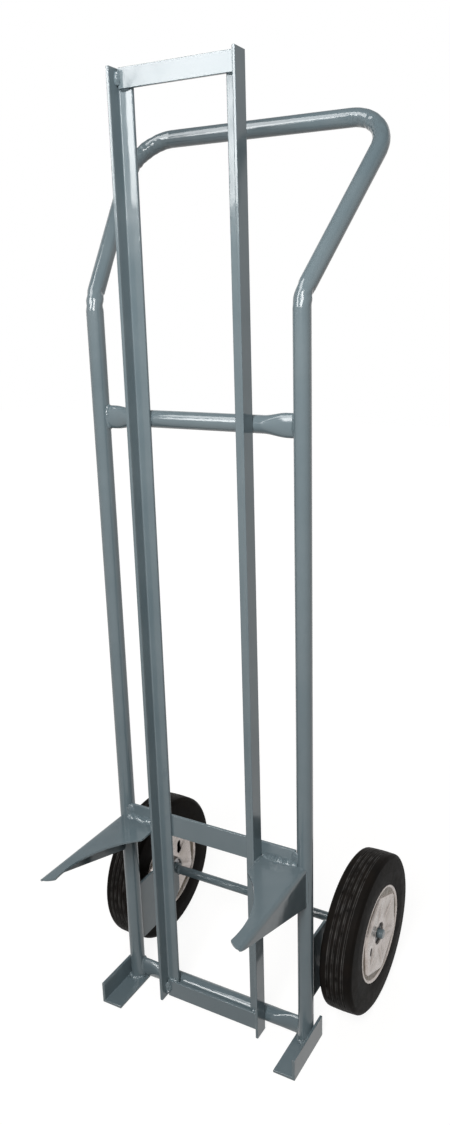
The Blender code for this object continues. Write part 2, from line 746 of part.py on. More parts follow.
def drill_valve_hole(rim, shop):
    hole = cylinder(f"{rim.name}_valve_drill", VALVE_HOLE / 2, TYRE_WIDTH * 2, RING_STEPS, shop)
    offset = Vector((math.cos(VALVE_HOLE_TURN), math.sin(VALVE_HOLE_TURN), 0)) * VALVE_HOLE_OFFSET
    hole.matrix_world = rim.matrix_world @ Matrix.Translation(offset)
    add_boolean(rim, hole, "DIFFERENCE")


def cut_slot(rim, shop):
    """A round-ended slot through the disc, leaning from the tangent at its place."""
    end = SLOT_WIDTH / 2
    half = SLOT_LENGTH / 2 - end
    outline = arc((0, half), end, 0, 2 * QUARTER, 6) + arc((0, -half), end, -2 * QUARTER, 0, 6)
    slot = flat_outline(f"{rim.name}_slot", outline, TYRE_WIDTH * 2, shop, shop.rim)
    centre = Matrix.Rotation(SLOT_TURN, 4, "Z") @ Matrix.Translation((SLOT_OFFSET, 0, 0))
    slot.matrix_world = rim.matrix_world @ centre @ Matrix.Rotation(SLOT_LEAN, 4, "Z")
    add_boolean(rim, as_mesh(slot, shop, cutter=True), "DIFFERENCE")


def wheel_matrix(axle_point, outward):
    """The place of a turned wheel piece whose own Z points along the axle, to +X or to -X."""
    return Matrix.Translation(axle_point) @ Matrix.Rotation(outward * QUARTER, 4, "Y")


def hub_profile():
    """The hub tube, with a shoulder between its bearings that each one stops against."""
    outer = HUB_OD / 2
    seat = outer - HUB_WALL
    shoulder = seat - HUB_SHOULDER
    upper_stop = OUTER_BEARING_FACE - BEARING_WIDTH - GAP
    lower_stop = BEARING_WIDTH + GAP - INNER_BEARING_FACE
    return [
        (outer, HUB_OUTSIDE),
        (outer, -HUB_INSIDE),
        (seat, -HUB_INSIDE),
        (seat, lower_stop),
        (shoulder, lower_stop),
        (shoulder, upper_stop),
        (seat, upper_stop),
        (seat, HUB_OUTSIDE),
    ]


def outer_race_profile():
    """The bearing's outer race and the shield that it carries, which faces +height."""
    top = BEARING_WIDTH / 2
    outer = BEARING_OD / 2
    bore = outer - OUTER_RACE_WALL
    shield_bore = INNER_RACE_OD / 2 + GAP
    shield_top = top - SHIELD_RECESS
    return [
        (outer, top),
        (outer, -top),
        (bore, -top),
        (bore, shield_top - BEARING_SHIELD),
        (shield_bore, shield_top - BEARING_SHIELD),
        (shield_bore, shield_top),
        (bore, shield_top),
        (bore, top),
    ]


def ring_profile(outer, inner, length):
    half = length / 2
    return [(outer, half), (outer, -half), (inner, -half), (inner, half)]


def make_bearing(name, axle_point, outward, face, shop):
    """The two races of one bearing, its shield facing outward from the wheel's middle plane."""
    matrix = wheel_matrix(axle_point, outward) @ Matrix.Translation((0, 0, face - BEARING_WIDTH / 2))
    inner_bore = AXLE_RADIUS + SHAFT_CLEARANCE
    inner_profile = ring_profile(INNER_RACE_OD / 2, inner_bore, BEARING_WIDTH)
    for race, profile in (("outer_race", outer_race_profile()), ("inner_race", inner_profile)):
        ring = turned(f"{name}_{race}", profile, RING_STEPS, shop, shop.bearing)
        ring.matrix_world = matrix


def cotter_path():
    """A split pin as (y, z) about the axle's axis, its eye in front.

    Behind the axle, the lower leg is bent round it and the upper one is bent up.
    """
    reach = AXLE_RADIUS + GAP + COTTER_WIRE / 2
    opening = math.asin(COTTER_LEG_OFFSET / COTTER_EYE_RADIUS)
    eye = arc((-reach - COTTER_EYE_RADIUS, 0), COTTER_EYE_RADIUS, 4 * QUARTER - opening, opening, 10)
    start = -math.asin(COTTER_LEG_OFFSET / reach)
    lower_leg = arc((0, 0), reach, -COTTER_WRAP, start, 6)
    rise = COTTER_LEG_LENGTH / math.sqrt(2)
    upper_leg = [
        (reach, COTTER_LEG_OFFSET),
        (reach + rise, COTTER_LEG_OFFSET + rise),
    ]
    return lower_leg + eye + upper_leg


def make_cotter_pin(side_name, side, shop):
    path = [Vector((0, y, z)) for y, z in cotter_path()]
    name = f"{side_name}_cotter_pin"
    pin = tube_curve(name, path, COTTER_WIRE / 2, COTTER_BEVEL_RESOLUTION, True, shop, shop.zinc)
    pin.location = (side * COTTER_X, AXLE_Y, AXLE_Z)


def make_wheel(side_name, side, shop):
    """Everything that turns with one wheel, with its origins on the axle."""
    centre = Vector((side * WHEEL_X, AXLE_Y, AXLE_Z))
    tyre = turned(f"{side_name}_tyre", tyre_profile(), TYRE_STEPS, shop, shop.rubber)
    tyre.matrix_world = wheel_matrix(centre, side)
    hub = turned(f"{side_name}_hub_tube", hub_profile(), RING_STEPS, shop, shop.hub)
    hub.matrix_world = wheel_matrix(centre, side)
    outer_rim = make_rim_half(
        f"{side_name}_outer_rim_half", centre, side, OUTER_RIM_HOLE / 2, shop
    )
    drill_valve_hole(outer_rim, shop)
    inner_rim = make_rim_half(
        f"{side_name}_inner_rim_half", centre, -side, HUB_OD / 2 + GAP, shop
    )
    cut_slot(inner_rim, shop)
    for rim in (outer_rim, inner_rim):
        smooth(rim, 12)
    make_bearing(f"{side_name}_outer_bearing", centre, side, OUTER_BEARING_FACE, shop)
    make_bearing(f"{side_name}_inner_bearing", centre, -side, INNER_BEARING_FACE, shop)


def make_axle_end(side_name, side, shop):
    """What holds a wheel on the axle: a spacer inside it, a washer and a cotter pin outside it."""
    bore = AXLE_RADIUS + GAP
    inside_x = WHEEL_X - INNER_BEARING_FACE - GAP
    bracket_x = POST_SPREAD + BRACKET_THICKNESS / 2 + GAP
    spacer_profile = ring_profile(bore + SPACER_WALL, bore, inside_x - bracket_x)
    spacer = turned(f"{side_name}_spacer", spacer_profile, RING_STEPS, shop, shop.paint)
    spacer.matrix_world = wheel_matrix((side * (inside_x + bracket_x) / 2, AXLE_Y, AXLE_Z), side)
    washer_profile = ring_profile(WASHER_OD / 2, bore, WASHER_THICKNESS)
    washer = turned(f"{side_name}_washer", washer_profile, RING_STEPS, shop, shop.zinc)
    washer_x = side * (WHEEL_X + WASHER_FACE - WASHER_THICKNESS / 2)
    washer.matrix_world = wheel_matrix((washer_x, AXLE_Y, AXLE_Z), side)
    make_cotter_pin(side_name, side, shop)


def main():
    clear_scene()
    shop = Shop()
    make_frame_tube(shop)
    make_cross_tube("upper_cross_tube", UPPER_CROSS_HEIGHT, shop)
    make_cross_tube("lower_cross_tube", LOWER_CROSS_HEIGHT, shop)
    make_flat_bars(shop)
    make_axle(shop)
    for side_name, side in SIDES.items():
        make_rail(side_name, side, shop)
        make_prong(side_name, side, shop)
        make_foot(side_name, side, shop)
        make_bracket(side_name, side, shop)
        make_wheel(side_name, side, shop)
        make_axle_end(side_name, side, shop)


main()
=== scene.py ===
"""Pail hand truck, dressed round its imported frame.

Metres, +Z up, -Y towards the load. Each operator makes one kind of piece, with its finish,
and the last one sets the stage. Nothing that is made here changes the frame's sizes.
"""

import json
import math

import bmesh
import bpy
import numpy as np
from bpy.props import FloatProperty, FloatVectorProperty, IntProperty, PointerProperty
from mathutils import Matrix, Vector


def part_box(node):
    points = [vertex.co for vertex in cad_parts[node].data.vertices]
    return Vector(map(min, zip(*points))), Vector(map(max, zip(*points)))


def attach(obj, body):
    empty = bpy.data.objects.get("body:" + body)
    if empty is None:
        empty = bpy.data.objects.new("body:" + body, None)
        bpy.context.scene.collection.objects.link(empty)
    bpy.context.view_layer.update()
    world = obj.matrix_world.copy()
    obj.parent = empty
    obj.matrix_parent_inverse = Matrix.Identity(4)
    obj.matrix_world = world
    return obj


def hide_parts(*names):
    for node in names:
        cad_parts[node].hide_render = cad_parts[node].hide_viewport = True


bl_info = {
    "name": "Pail hand truck",
    "version": (1, 0, 0),
    "blender": (4, 5, 0),
    "location": "View3D > Sidebar > Hand truck",
    "description": "Makes a painted tube hand truck for round pails, on ribbed rubber wheels",
    "category": "Object",
}

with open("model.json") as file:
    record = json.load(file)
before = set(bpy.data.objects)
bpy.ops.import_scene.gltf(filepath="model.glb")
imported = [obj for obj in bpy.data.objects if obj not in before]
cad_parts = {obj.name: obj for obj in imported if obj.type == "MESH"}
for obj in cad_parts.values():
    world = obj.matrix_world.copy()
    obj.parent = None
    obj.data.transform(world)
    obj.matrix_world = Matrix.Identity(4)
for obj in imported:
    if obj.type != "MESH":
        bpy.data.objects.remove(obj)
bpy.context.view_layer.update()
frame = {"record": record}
SIDES = {"left": -1, "right": 1}
SLOTS = {part["node"]: part["material_slot"] for part in frame["record"]["subparts"]}
BODIES = {
    node: body
    for body, nodes in frame["record"]["behaviour"]["bodies"].items()
    for node in nodes
}
FUSE = 1e-6  # vertices closer than this are one
GAP = 0.0003  # between two pieces that touch
BREAK, SOFT_BREAK = 0.0004, 0.0006  # roundings of a turned piece's edges


def span(node):
    """How far a node of the frame reaches along X, Y and Z."""
    low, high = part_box(node)
    return high - low


def middle(node):
    """The middle of a node's box."""
    low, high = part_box(node)
    return (low + high) / 2


# Sizes and colours


def linear(code):
    """An sRGB hex colour such as #6D7B7F as linear values."""
    shares = [int(code[i : i + 2], 16) / 255 for i in (1, 3, 5)]
    return tuple(s / 12.92 if s <= 0.04045 else ((s + 0.055) / 1.055) ** 2.4 for s in shares)


def length(name, default, description):
    return FloatProperty(
        name=name, default=default, description=description, unit="LENGTH", precision=4
    )


def angle(name, degrees, description):
    return FloatProperty(
        name=name, default=math.radians(degrees), description=description, unit="ROTATION"
    )


def watts(name, default, description):
    return FloatProperty(name=name, default=default, description=description, unit="POWER", min=0)


def tint(name, code, description):
    return FloatVectorProperty(
        name=name, default=linear(code), description=description, subtype="COLOR", min=0, max=1
    )


class TubeSizes(bpy.types.PropertyGroup):
    """The bent frame tube and the two cross tubes."""

    diameter: length("Tube diameter", 0.0254, "Outside diameter of the frame tube")
    wall: length("Tube wall", 0.0021, "Wall of the frame tube")
    post_spread: length("Post spread", 0.1676, "From the middle of the truck to a post's axis")
    base: length("Post base", 0.00506, "Height of the posts' lower ends")
    post_bend_height: length("Post bend height", 1.1693, "Where the posts turn into arms")
    post_bend: length("Post bend radius", 0.045, "Bend radius at the top of a post")
    grip_spread: length("Grip spread", 0.2198, "From the middle to an arm's axis at the grip")
    grip_setback: length("Grip setback", 0.196, "How far the grip lies behind the posts")
    grip_height: length("Grip height", 1.4113, "Height of the grip's axis")
    grip_bend: length("Grip bend radius", 0.059, "Bend radius at the ends of the grip")
    wrinkle_depth: length("Wrinkle depth", 0.0005, "Ripples that the bender leaves in a bend")
    wrinkle_pitch: length("Wrinkle pitch", 0.0125, "From one ripple to the next")
    dent_depth: length("Dent depth", 0.0010, "Depth of the bender's marks in a bend")
    dent_size: length("Dent size", 0.0045, "Half the width of one of those marks")
    dents: IntProperty(name="Dents", default=34, min=0, description="Marks in each bend")
    pressed_height: length("Pressed height", 0.034, "Height of a cross tube's pressed end")
    pressed_depth: length("Pressed depth", 0.015, "Depth of a cross tube's pressed end")
    pressed_length: length("Pressed length", 0.012, "Length of the fully pressed part")
    taper_length: length("Taper length", 0.036, "Length from round to pressed")


class PlateSizes(bpy.types.PropertyGroup):
    """Angles, flat bars, prongs, feet and brackets."""

    rail_leg: length("Rail leg", 0.0254, "Width of each leg of a rail's angle")
    foot_leg: length("Foot leg", 0.0381, "Width of each leg of a foot's angle")
    thickness: length("Plate thickness", 0.00476, "Thickness of angles, bars and brackets")
    root_radius: length("Root radius", 0.002, "Fillet inside a rail's angle")
    toe_radius: length("Toe radius", 0.0015, "Rounding of the legs' inner edges")
    edge_radius: length("Edge radius", 0.0007, "Rounding of bars' and plates' edges")
    prong_thickness: length("Prong thickness", 0.0032, "Sheet thickness of a prong")
    prong_fold: length("Prong fold radius", 0.005, "Middle radius of the fold at the outer edge")
    prong_depth: length("Prong flange depth", 0.0674, "Depth of the flange at the post")
    prong_tip_depth: length("Prong tip depth", 0.0045, "Depth of the flange at the tip")
    prong_tip_skew: length("Prong tip skew", 0.0095, "How far the tip's inner corner lies back")
    pail_radius: length("Pail radius", 0.1544, "Radius that the prongs are hollowed to")
    pail_ahead: length("Pail ahead", 0.177, "How far the pail's axis lies ahead of the posts")
    bracket_lower_cut: length("Bracket lower cut", 0.0265, "Corner cut off below the axle")
    bracket_upper_cut: length("Bracket upper cut", 0.041, "Height of the corner cut off above")
    bracket_upper_back: length("Bracket upper back", 0.0615, "Depth of the corner cut off above")
    bracket_corner: length("Bracket corner radius", 0.002, "Rounding of its rear corners")
    bracket_heel: length("Bracket heel radius", 0.001, "Rounding of its corners at the post")


class WheelSizes(bpy.types.PropertyGroup):
    """Tyre, pressed rim halves, hub, bearings and the axle's ends."""

    bore: length("Tyre bore", 0.163, "Diameter of the tyre's inside")
    crown_drop: length("Crown drop", 0.0010, "Fall of the tread from its middle to its edge")
    tread_width: length("Tread width", 0.048, "Width between the tyre's bevels")
    bevel_drop: length("Bevel drop", 0.0065, "Fall of the bevel from the tread to the side")
    bulge: length("Side bulge", 0.0006, "How far the tyre's sides stand out")
    ribs: IntProperty(name="Ribs", default=5, min=2, max=9, description="Ribs on the tread")
    rib_pitch: length("Rib pitch", 0.0086, "From one rib to the next")
    groove_width: length("Groove width", 0.0016, "Width of a groove between ribs")
    groove_depth: length("Groove depth", 0.0022, "Depth of a groove between ribs")
    rib_edge: length("Rib edge radius", 0.0014, "Rounding of the ribs' edges")
    groove_root: length("Groove root radius", 0.0003, "Rounding at the bottom of a groove")
    shoulder: length("Tyre shoulder radius", 0.004, "Rounding at both ends of the bevel")
    side_round: length("Tyre side radius", 0.02, "Rounding of the tyre's bulging sides")
    seat_edge: length("Tyre seat radius", 0.0008, "Rounding at the tyre's bore")
    sheet: length("Rim sheet", 0.0016, "Sheet thickness of the rim halves")
    lip_width: length("Lip width", 0.0042, "Width of the rim's sloping lip")
    lip_inset: length("Lip inset", 0.0003, "From the tyre's side to the lip's outside")
    floor_depth: length("Rim floor depth", 0.0026, "How deep the floor lies below the lip")
    bead: length("Rim bead radius", 0.001, "Rounding at the top of the lip")
    seat_gap: length("Rim seat gap", 0.0007, "Between the rim's skirt and the tyre's bore")
    boss_corner: length("Boss corner radius", 0.0732, "Corner radius of the six-sided boss")
    boss_step: length("Boss step", 0.002, "Width of the boss's sloping edge")
    boss_rise: length("Boss rise", 0.0042, "How far the boss stands up from the floor")
    dish_radius: length("Dish radius", 0.0265, "Radius of the flat ring round the hub")
    dish_drop: length("Dish drop", 0.0042, "Fall from the boss's edge to the hub")
    crease_height: length("Crease height", 0.0024, "Height of the creases to the boss's corners")
    crease_width: length("Crease width", 0.0030, "Half the width of those creases")
    rim_turn: angle("Rim turn", 5, "Turn of the boss's corners about the axle")
    hub_hole: length("Hub hole", 0.0372, "Diameter of the hole in an outer rim half")
    valve_hole: length("Valve hole", 0.0135, "Diameter of the valve hole")
    valve_offset: length("Valve hole offset", 0.042, "From the axle to the valve hole")
    valve_turn: angle("Valve hole turn", -85, "Place of the valve hole round the axle")
    slot_length: length("Slot length", 0.029, "Length of the slot in an inner rim half")
    slot_width: length("Slot width", 0.010, "Width of the slot")
    slot_offset: length("Slot offset", 0.039, "From the axle to the slot's middle")
    slot_turn: angle("Slot turn", 133, "Place of the slot round the axle")
    slot_lean: angle("Slot lean", -42, "Lean of the slot from the tangent")
    hub_diameter: length("Hub diameter", 0.0413, "Outside diameter of the hub tube")
    hub_wall: length("Hub wall", 0.0029, "Wall of the hub tube at the bearings")
    hub_shoulder: length("Hub shoulder", 0.003, "Step that a bearing stops against")
    race_wall: length("Outer race wall", 0.0035, "Wall of a bearing's outer race")
    inner_race: length("Inner race diameter", 0.0216, "Outside diameter of an inner race")
    shield: length("Shield thickness", 0.0008, "Thickness of a bearing's shield")
    crimp_width: length("Crimp width", 0.0012, "Width of the crimped edge round a shield")
    crimp_depth: length("Crimp depth", 0.0003, "How deep the crimped edge lies")
    shield_recess: length("Shield recess", 0.0005, "How deep the shield lies in the race")
    axle_chamfer: length("Axle chamfer", 0.0012, "Chamfer at the axle's ends")
    cotter_wire: length("Cotter wire", 0.0016, "Thickness of each leg of a split pin")
    cotter_slot: length("Cotter slot", 0.0003, "Gap between the two legs")
    cotter_eye: length("Cotter eye", 0.0025, "Middle radius of a split pin's eye")
    cotter_leg: length("Cotter leg", 0.0045, "Length of the leg that is bent up")
    cotter_wrap: angle("Cotter wrap", 95, "How far the other leg is bent round the axle")


class WeldSizes(bpy.types.PropertyGroup):
    """The beads of weld metal, under the paint."""

    width: length("Bead width", 0.0065, "Width of a usual bead")
    rise: length("Bead rise", 0.0022, "How far a usual bead stands up")
    broad_width: length("Broad bead width", 0.014, "Width of the beads on the prongs")
    broad_rise: length("Broad bead rise", 0.0050, "Rise of the beads on the prongs")
    end_width: length("End bead width", 0.012, "Width of the beads on the bars' ends")
    end_rise: length("End bead rise", 0.0040, "Rise of the beads on the bars' ends")
    foot_width: length("Foot bead width", 0.008, "Width of the rings round the posts' feet")
    foot_rise: length("Foot bead rise", 0.0034, "Rise of the rings round the posts' feet")
    post_width: length("Post bead width", 0.016, "Width of the beads before the middle bar")
    post_rise: length("Post bead rise", 0.0028, "Rise of the beads before the middle bar")
    flange_width: length("Flange bead width", 0.0045, "Width of the beads down the flanges")
    flange_rise: length("Flange bead rise", 0.0014, "Rise of the beads down the flanges")
    pitch: length("Ripple pitch", 0.0036, "From one ripple of a bead to the next")
    seed: IntProperty(name="Seed", default=7, min=0, description="Turns the beads' lumps")


class Finishes(bpy.types.PropertyGroup):
    """Colours of the finishes."""

    enamel: tint("Enamel", "#707D82", "Grey enamel on the frame")
    enamel_thick: tint("Thick enamel", "#65747A", "Where the enamel lies thicker")
    rubber: tint("Rubber", "#1A1918", "Black tyre rubber")
    rubber_bloom: tint("Rubber bloom", "#211D1A", "Brownish bloom on the rubber")
    # grey of the painted highlights along the tyres' rib edges
    glint_grey: tint("Scuffed rubber", "#5A5856", "Grey where the ribs' edges have rubbed")
    silver: tint("Silver paint", "#D6CDC9", "Silver paint on the rims")
    # brown of the rims' cloudy stains, and of their painted shade and painted brown reflection
    silver_stain_and_shade: tint("Silver stain", "#6F5B34", "Brown primer under thin silver paint")
    steel: tint("Hub steel", "#8A8784", "Plain steel of the hub tubes")
    bearing: tint("Bearing steel", "#9A9A9C", "Ground steel of the bearings")
    zinc: tint("Zinc", "#77787A", "Zinc plate that has dulled")


class StageSettings(bpy.types.PropertyGroup):
    """Floor, lights and camera."""

    floor: tint("Floor", "#6E6C69", "Colour of the floor's bounced light")
    fibre: tint("Paper fibre", "#AAAAAA", "Paler fibres in the floor's paper")
    glow: FloatProperty(name="Glow", default=0.91, min=0, description="White shown near the truck")
    near: length("Near", 0.3, "How far from the middle the floor's white begins to rise")
    far: length("Far", 2.4, "How far from the middle the floor is quite white")
    ceiling: tint("Ceiling", "#8C8F92", "Colour of the backdrop overhead")
    floor_size: length("Floor size", 16.0, "Length of the floor's sides")
    sky: FloatProperty(name="Sky", default=0.16, min=0, description="Strength of the sky light")
    key: watts("Key", 37, "Softbox in front")
    window: watts("Window", 38, "Bright card on the left, which only the gloss shows")
    top: watts("Top", 22, "Bright card overhead, which only the gloss shows")
    rear: watts("Rear", 14, "Softbox behind")


class TruckSettings(bpy.types.PropertyGroup):
    """Everything that a user may change."""

    tubes: PointerProperty(type=TubeSizes, name="Tubes", description="Frame and cross tubes")
    plates: PointerProperty(type=PlateSizes, name="Plates", description="Angles and plates")
    wheels: PointerProperty(type=WheelSizes, name="Wheels", description="Wheels and axle ends")
    welds: PointerProperty(type=WeldSizes, name="Welds", description="Weld beads")
    finishes: PointerProperty(type=Finishes, name="Finishes", description="Colours")
    stage: PointerProperty(type=StageSettings, name="Stage", description="Floor and lights")


# Finishes

SHARE, FIRST, SECOND, BLEND = 0, 6, 7, 2  # sockets of the node that mixes two colours
WHITE = (1, 1, 1, 1)
FILM = 0.7  # what a dull film leaves of bare steel's brightness


def add_node(tree, kind, inputs=None, **settings):
    """Adds a node with its settings and links. An input is a value, or what feeds it."""
    node = tree.nodes.new(f"ShaderNode{kind}")
    for name, value in settings.items():
        setattr(node, name, value)
    for name, value in (inputs or {}).items():
        if isinstance(value, bpy.types.Node):
            value = value.outputs[0]
        if isinstance(value, bpy.types.NodeSocket):
            tree.links.new(value, node.inputs[name])
        else:
            node.inputs[name].default_value = value
    return node


def material_of(name, build, colours):
    """The material of this name. The first time, build fills its nodes and returns the shader."""
    material = bpy.data.materials.get(name)
    if material is None:
        material = bpy.data.materials.new(name)
        material.use_nodes = True
        tree = material.node_tree
        tree.nodes.clear()
        shader = build(tree, colours)
        add_node(tree, "OutputMaterial", {"Surface": shader})
    return material


def patches(tree, size, low=0, high=1, detail=3.0, seed=0.0, stretch=(1, 1, 1)):
    """A cloudy pattern from low to high, whose patches are about size across."""
    place = add_node(tree, "TexCoord").outputs["Object"]
    moved = {"Vector": place, "Scale": stretch, "Location": (seed,) * 3}
    mapping = add_node(tree, "Mapping", moved)
    clouds = {"Vector": mapping, "Scale": 1 / size, "Detail": detail, "Roughness": 0.55}
    noise = add_node(tree, "TexNoise", clouds)
    ends = {"From Min": 0.3, "From Max": 0.7, "To Min": low, "To Max": high}
    return add_node(tree, "MapRange", {"Value": noise, **ends})


def rgba(colour):
    """A colour as a socket takes it."""
    return (*colour, 1)


def sprayed_enamel(tree, finishes):
    """Air-drying grey enamel, sprayed over bare welded steel: a wet, slightly uneven gloss.

    The gloss draws sharp streaks of light along bends and beads. The film pools slightly, so the
    grey drifts by a shade over a hand's width.
    """
    drift = patches(tree, size=0.09)
    tones = {SHARE: drift, FIRST: rgba(finishes.enamel), SECOND: rgba(finishes.enamel_thick)}
    colour = add_node(tree, "Mix", tones, data_type="RGBA").outputs[BLEND]
    gloss = patches(tree, size=0.05, low=0.10, high=0.17, seed=3.0)
    # sags of the wet film; its orange peel, near 1.5 mm, is too fine to show
    sags = patches(tree, size=0.035, detail=1.0, seed=8.0)
    bump = add_node(tree, "Bump", {"Height": sags, "Strength": 1, "Distance": 0.0002})
    wet = {"Base Color": colour, "Roughness": gloss, "IOR": 1.47, "Normal": bump}
    return add_node(tree, "BsdfPrincipled", wet)


def moulded_rubber(tree, finishes):
    """Carbon-filled rubber, moulded: near black with a dull sheen and a brownish bloom.

    Broken grey streaks are painted along the ribs' edges round the tread:
    painted highlights where the ribs catch the light.
    """
    bloom = patches(tree, size=0.03, detail=5.0)
    tones = {SHARE: bloom, FIRST: rgba(finishes.rubber), SECOND: rgba(finishes.rubber_bloom)}
    black = add_node(tree, "Mix", tones, data_type="RGBA").outputs[BLEND]
    # painted highlight: grey streaks along the ribs' edges, where the ribs catch the light
    edges = add_node(tree, "Attribute", attribute_name="rubbed").outputs["Fac"]
    streaks = patches(tree, size=0.014, low=0.0, high=0.9, detail=4.0, seed=6.0)
    rubbed = add_node(tree, "Math", {0: edges, 1: streaks}, operation="MULTIPLY")
    tones = {SHARE: rubbed, FIRST: black, SECOND: rgba(finishes.glint_grey)}
    colour = add_node(tree, "Mix", tones, data_type="RGBA").outputs[BLEND]
    dull = patches(tree, size=0.012, low=0.42, high=0.52, seed=2.0)
    # real grain is near 0.3 mm, which is too fine to show
    grain = patches(tree, size=0.0012, detail=2.0, seed=4.0)
    bump = add_node(tree, "Bump", {"Height": grain, "Strength": 0.6, "Distance": 0.0001})
    return add_node(
        tree,
        "BsdfPrincipled",
        {
            "Base Color": colour,
            "Roughness": dull,
            "IOR": 1.07,  # a bloomed surface swallows the gloss that a slant view would show
            "Normal": bump,
        },
    )


def silver_paint(tree, finishes):
    """Aluminium-flake paint, sprayed thinly on pressed steel: a cloudy warm silver.

    Brown shade is painted into the recess round the boss, beside the creases and at the foot of
    the boss's edge: painted shade, and in the recess a painted reflection of a brown floor.
    """
    # painted shade and painted reflection, marked on the rims' points by rim_shape()
    recess = add_node(tree, "Attribute", attribute_name="thin_paint").outputs["Fac"]
    cloud = patches(tree, size=0.022, low=0.0, high=0.36, detail=5.0)
    uneven = patches(tree, size=0.012, low=0.6, high=1.0, seed=6.0)
    shaded = add_node(tree, "Math", {0: recess, 1: uneven}, operation="MULTIPLY")
    # cloudy stains, with the painted shade on top of them
    stain_and_shade = add_node(tree, "Math", {0: shaded, 1: cloud}, operation="MAXIMUM")
    tones = {SHARE: stain_and_shade, FIRST: rgba(finishes.silver), SECOND: rgba(finishes.silver_stain_and_shade)}
    colour = add_node(tree, "Mix", tones, data_type="RGBA").outputs[BLEND]
    # where shade is painted, the metal and the gloss are turned down with it
    metal = add_node(tree, "Math", {0: shaded, 1: -0.5, 2: 0.5}, operation="MULTIPLY_ADD")
    shine = add_node(tree, "Math", {0: shaded, 1: -0.46, 2: 0.5}, operation="MULTIPLY_ADD")
    gloss = patches(tree, size=0.02, low=0.20, high=0.34, seed=9.0)
    dents = patches(tree, size=0.014, detail=2.0, seed=1.0)
    # real flake is near 0.05 mm, which is too fine to show
    flake = patches(tree, size=0.0015, detail=1.0, seed=7.0)
    soft = add_node(tree, "Bump", {"Height": dents, "Strength": 1, "Distance": 0.0004})
    fine = {"Height": flake, "Strength": 1, "Distance": 0.00003, "Normal": soft}
    bump = add_node(tree, "Bump", fine)
    return add_node(
        tree,
        "BsdfPrincipled",
        {
            "Base Color": colour,
            "Metallic": metal,
            "Roughness": gloss,
            "Specular IOR Level": shine,
            "Normal": bump,
        },
    )


def bare_steel(tree, colour, roughness, grain_size, grain_depth):
    """Steel without paint, under a patchy film, with fine tool marks that run one way."""
    film = patches(tree, size=0.01, detail=4.0)
    filmed = [FILM * value for value in colour]
    tones = {SHARE: film, FIRST: rgba(colour), SECOND: rgba(filmed)}
    tone = add_node(tree, "Mix", tones, data_type="RGBA").outputs[BLEND]
    marks = patches(tree, size=grain_size, detail=2.0, seed=2.0, stretch=(6, 1, 1))
    bump = add_node(tree, "Bump", {"Height": marks, "Strength": 1, "Distance": grain_depth})
    gloss = patches(tree, size=0.006, low=roughness, high=roughness + 0.12, seed=4.0)
    metal = {"Base Color": tone, "Metallic": 1.0, "Roughness": gloss, "Normal": bump}
    return add_node(tree, "BsdfPrincipled", metal)


def drawn_steel(tree, finishes):
    """Cold-drawn tube steel of the hubs: grey, with a dull oily film."""
    return bare_steel(tree, finishes.steel, roughness=0.38, grain_size=0.002, grain_depth=0.00004)


def ground_steel(tree, finishes):
    """Ground and polished bearing steel: bright, with hardly any marks."""
    return bare_steel(tree, finishes.bearing, roughness=0.22, grain_size=0.001, grain_depth=0.00001)


def zinc_plate(tree, finishes):
    """Bright zinc plate on washers and split pins: pale, with soft glints."""
    return bare_steel(tree, finishes.zinc, roughness=0.24, grain_size=0.0015, grain_depth=0.00002)


FINISH_OF_SLOT = {
    "grey_enamel": ("sprayed_grey_enamel", sprayed_enamel),
    "tyre_rubber": ("moulded_black_rubber", moulded_rubber),
    "silver_paint": ("sprayed_silver_paint", silver_paint),
    "hub_steel": ("drawn_hub_steel", drawn_steel),
    "bearing_steel": ("ground_bearing_steel", ground_steel),
    "zinc_plate": ("bright_zinc_plate", zinc_plate),
}


# Shapes


def grid(points, wrap_rows=False, wrap_columns=False, caps=False):
    """Faces over rows and columns of points, with a flat cap on each end row if asked."""
    rows, columns = points.shape[:2]
    index = np.arange(rows * columns).reshape(rows, columns)
    first, last = index[0].tolist(), index[-1].tolist()
    if wrap_rows:
        index = np.vstack([index, index[:1]])
    if wrap_columns:
        index = np.hstack([index, index[:, :1]])
    corners = (index[:-1, :-1], index[:-1, 1:], index[1:, 1:], index[1:, :-1])
    faces = np.stack(corners, axis=-1).reshape(-1, 4).tolist()
    if caps:
        faces += [first[::-1], last]
    return points.reshape(-1, 3), faces


def joined(shapes):
    """Several (points, faces) shapes as one."""
    points, faces, start = [], [], 0
    for shape_points, shape_faces in shapes:
        points.append(shape_points)
        faces += [[start + i for i in face] for face in shape_faces]
        start += len(shape_points)
    return np.concatenate(points), faces


def rounded(corners, closed=True, steps=5):
    """Corners (x, y, radius) as an outline whose corners are arcs of those radii."""
    outline, count = [], len(corners)
    for i, (x, y, radius) in enumerate(corners):
        corner = np.array((x, y))
        if radius <= 0 or (not closed and i in (0, count - 1)):
            outline.append(corner)
            continue
        before = np.array(corners[i - 1][:2]) - corner
        after = np.array(corners[(i + 1) % count][:2]) - corner
        before, after = before / np.linalg.norm(before), after / np.linalg.norm(after)
        half = math.acos(max(-1.0, min(1.0, before @ after))) / 2
        bisector = (before + after) / np.linalg.norm(before + after)
        centre = corner + bisector * radius / math.sin(half)
        start = corner + before * radius / math.tan(half) - centre
        end = corner + after * radius / math.tan(half) - centre
        first = math.atan2(start[1], start[0])
        turn = (math.atan2(end[1], end[0]) - first + math.pi) % (2 * math.pi) - math.pi
        for k in range(steps + 1):
            a = first + turn * k / steps
            outline.append(centre + radius * np.array((math.cos(a), math.sin(a))))
    return np.array(outline)


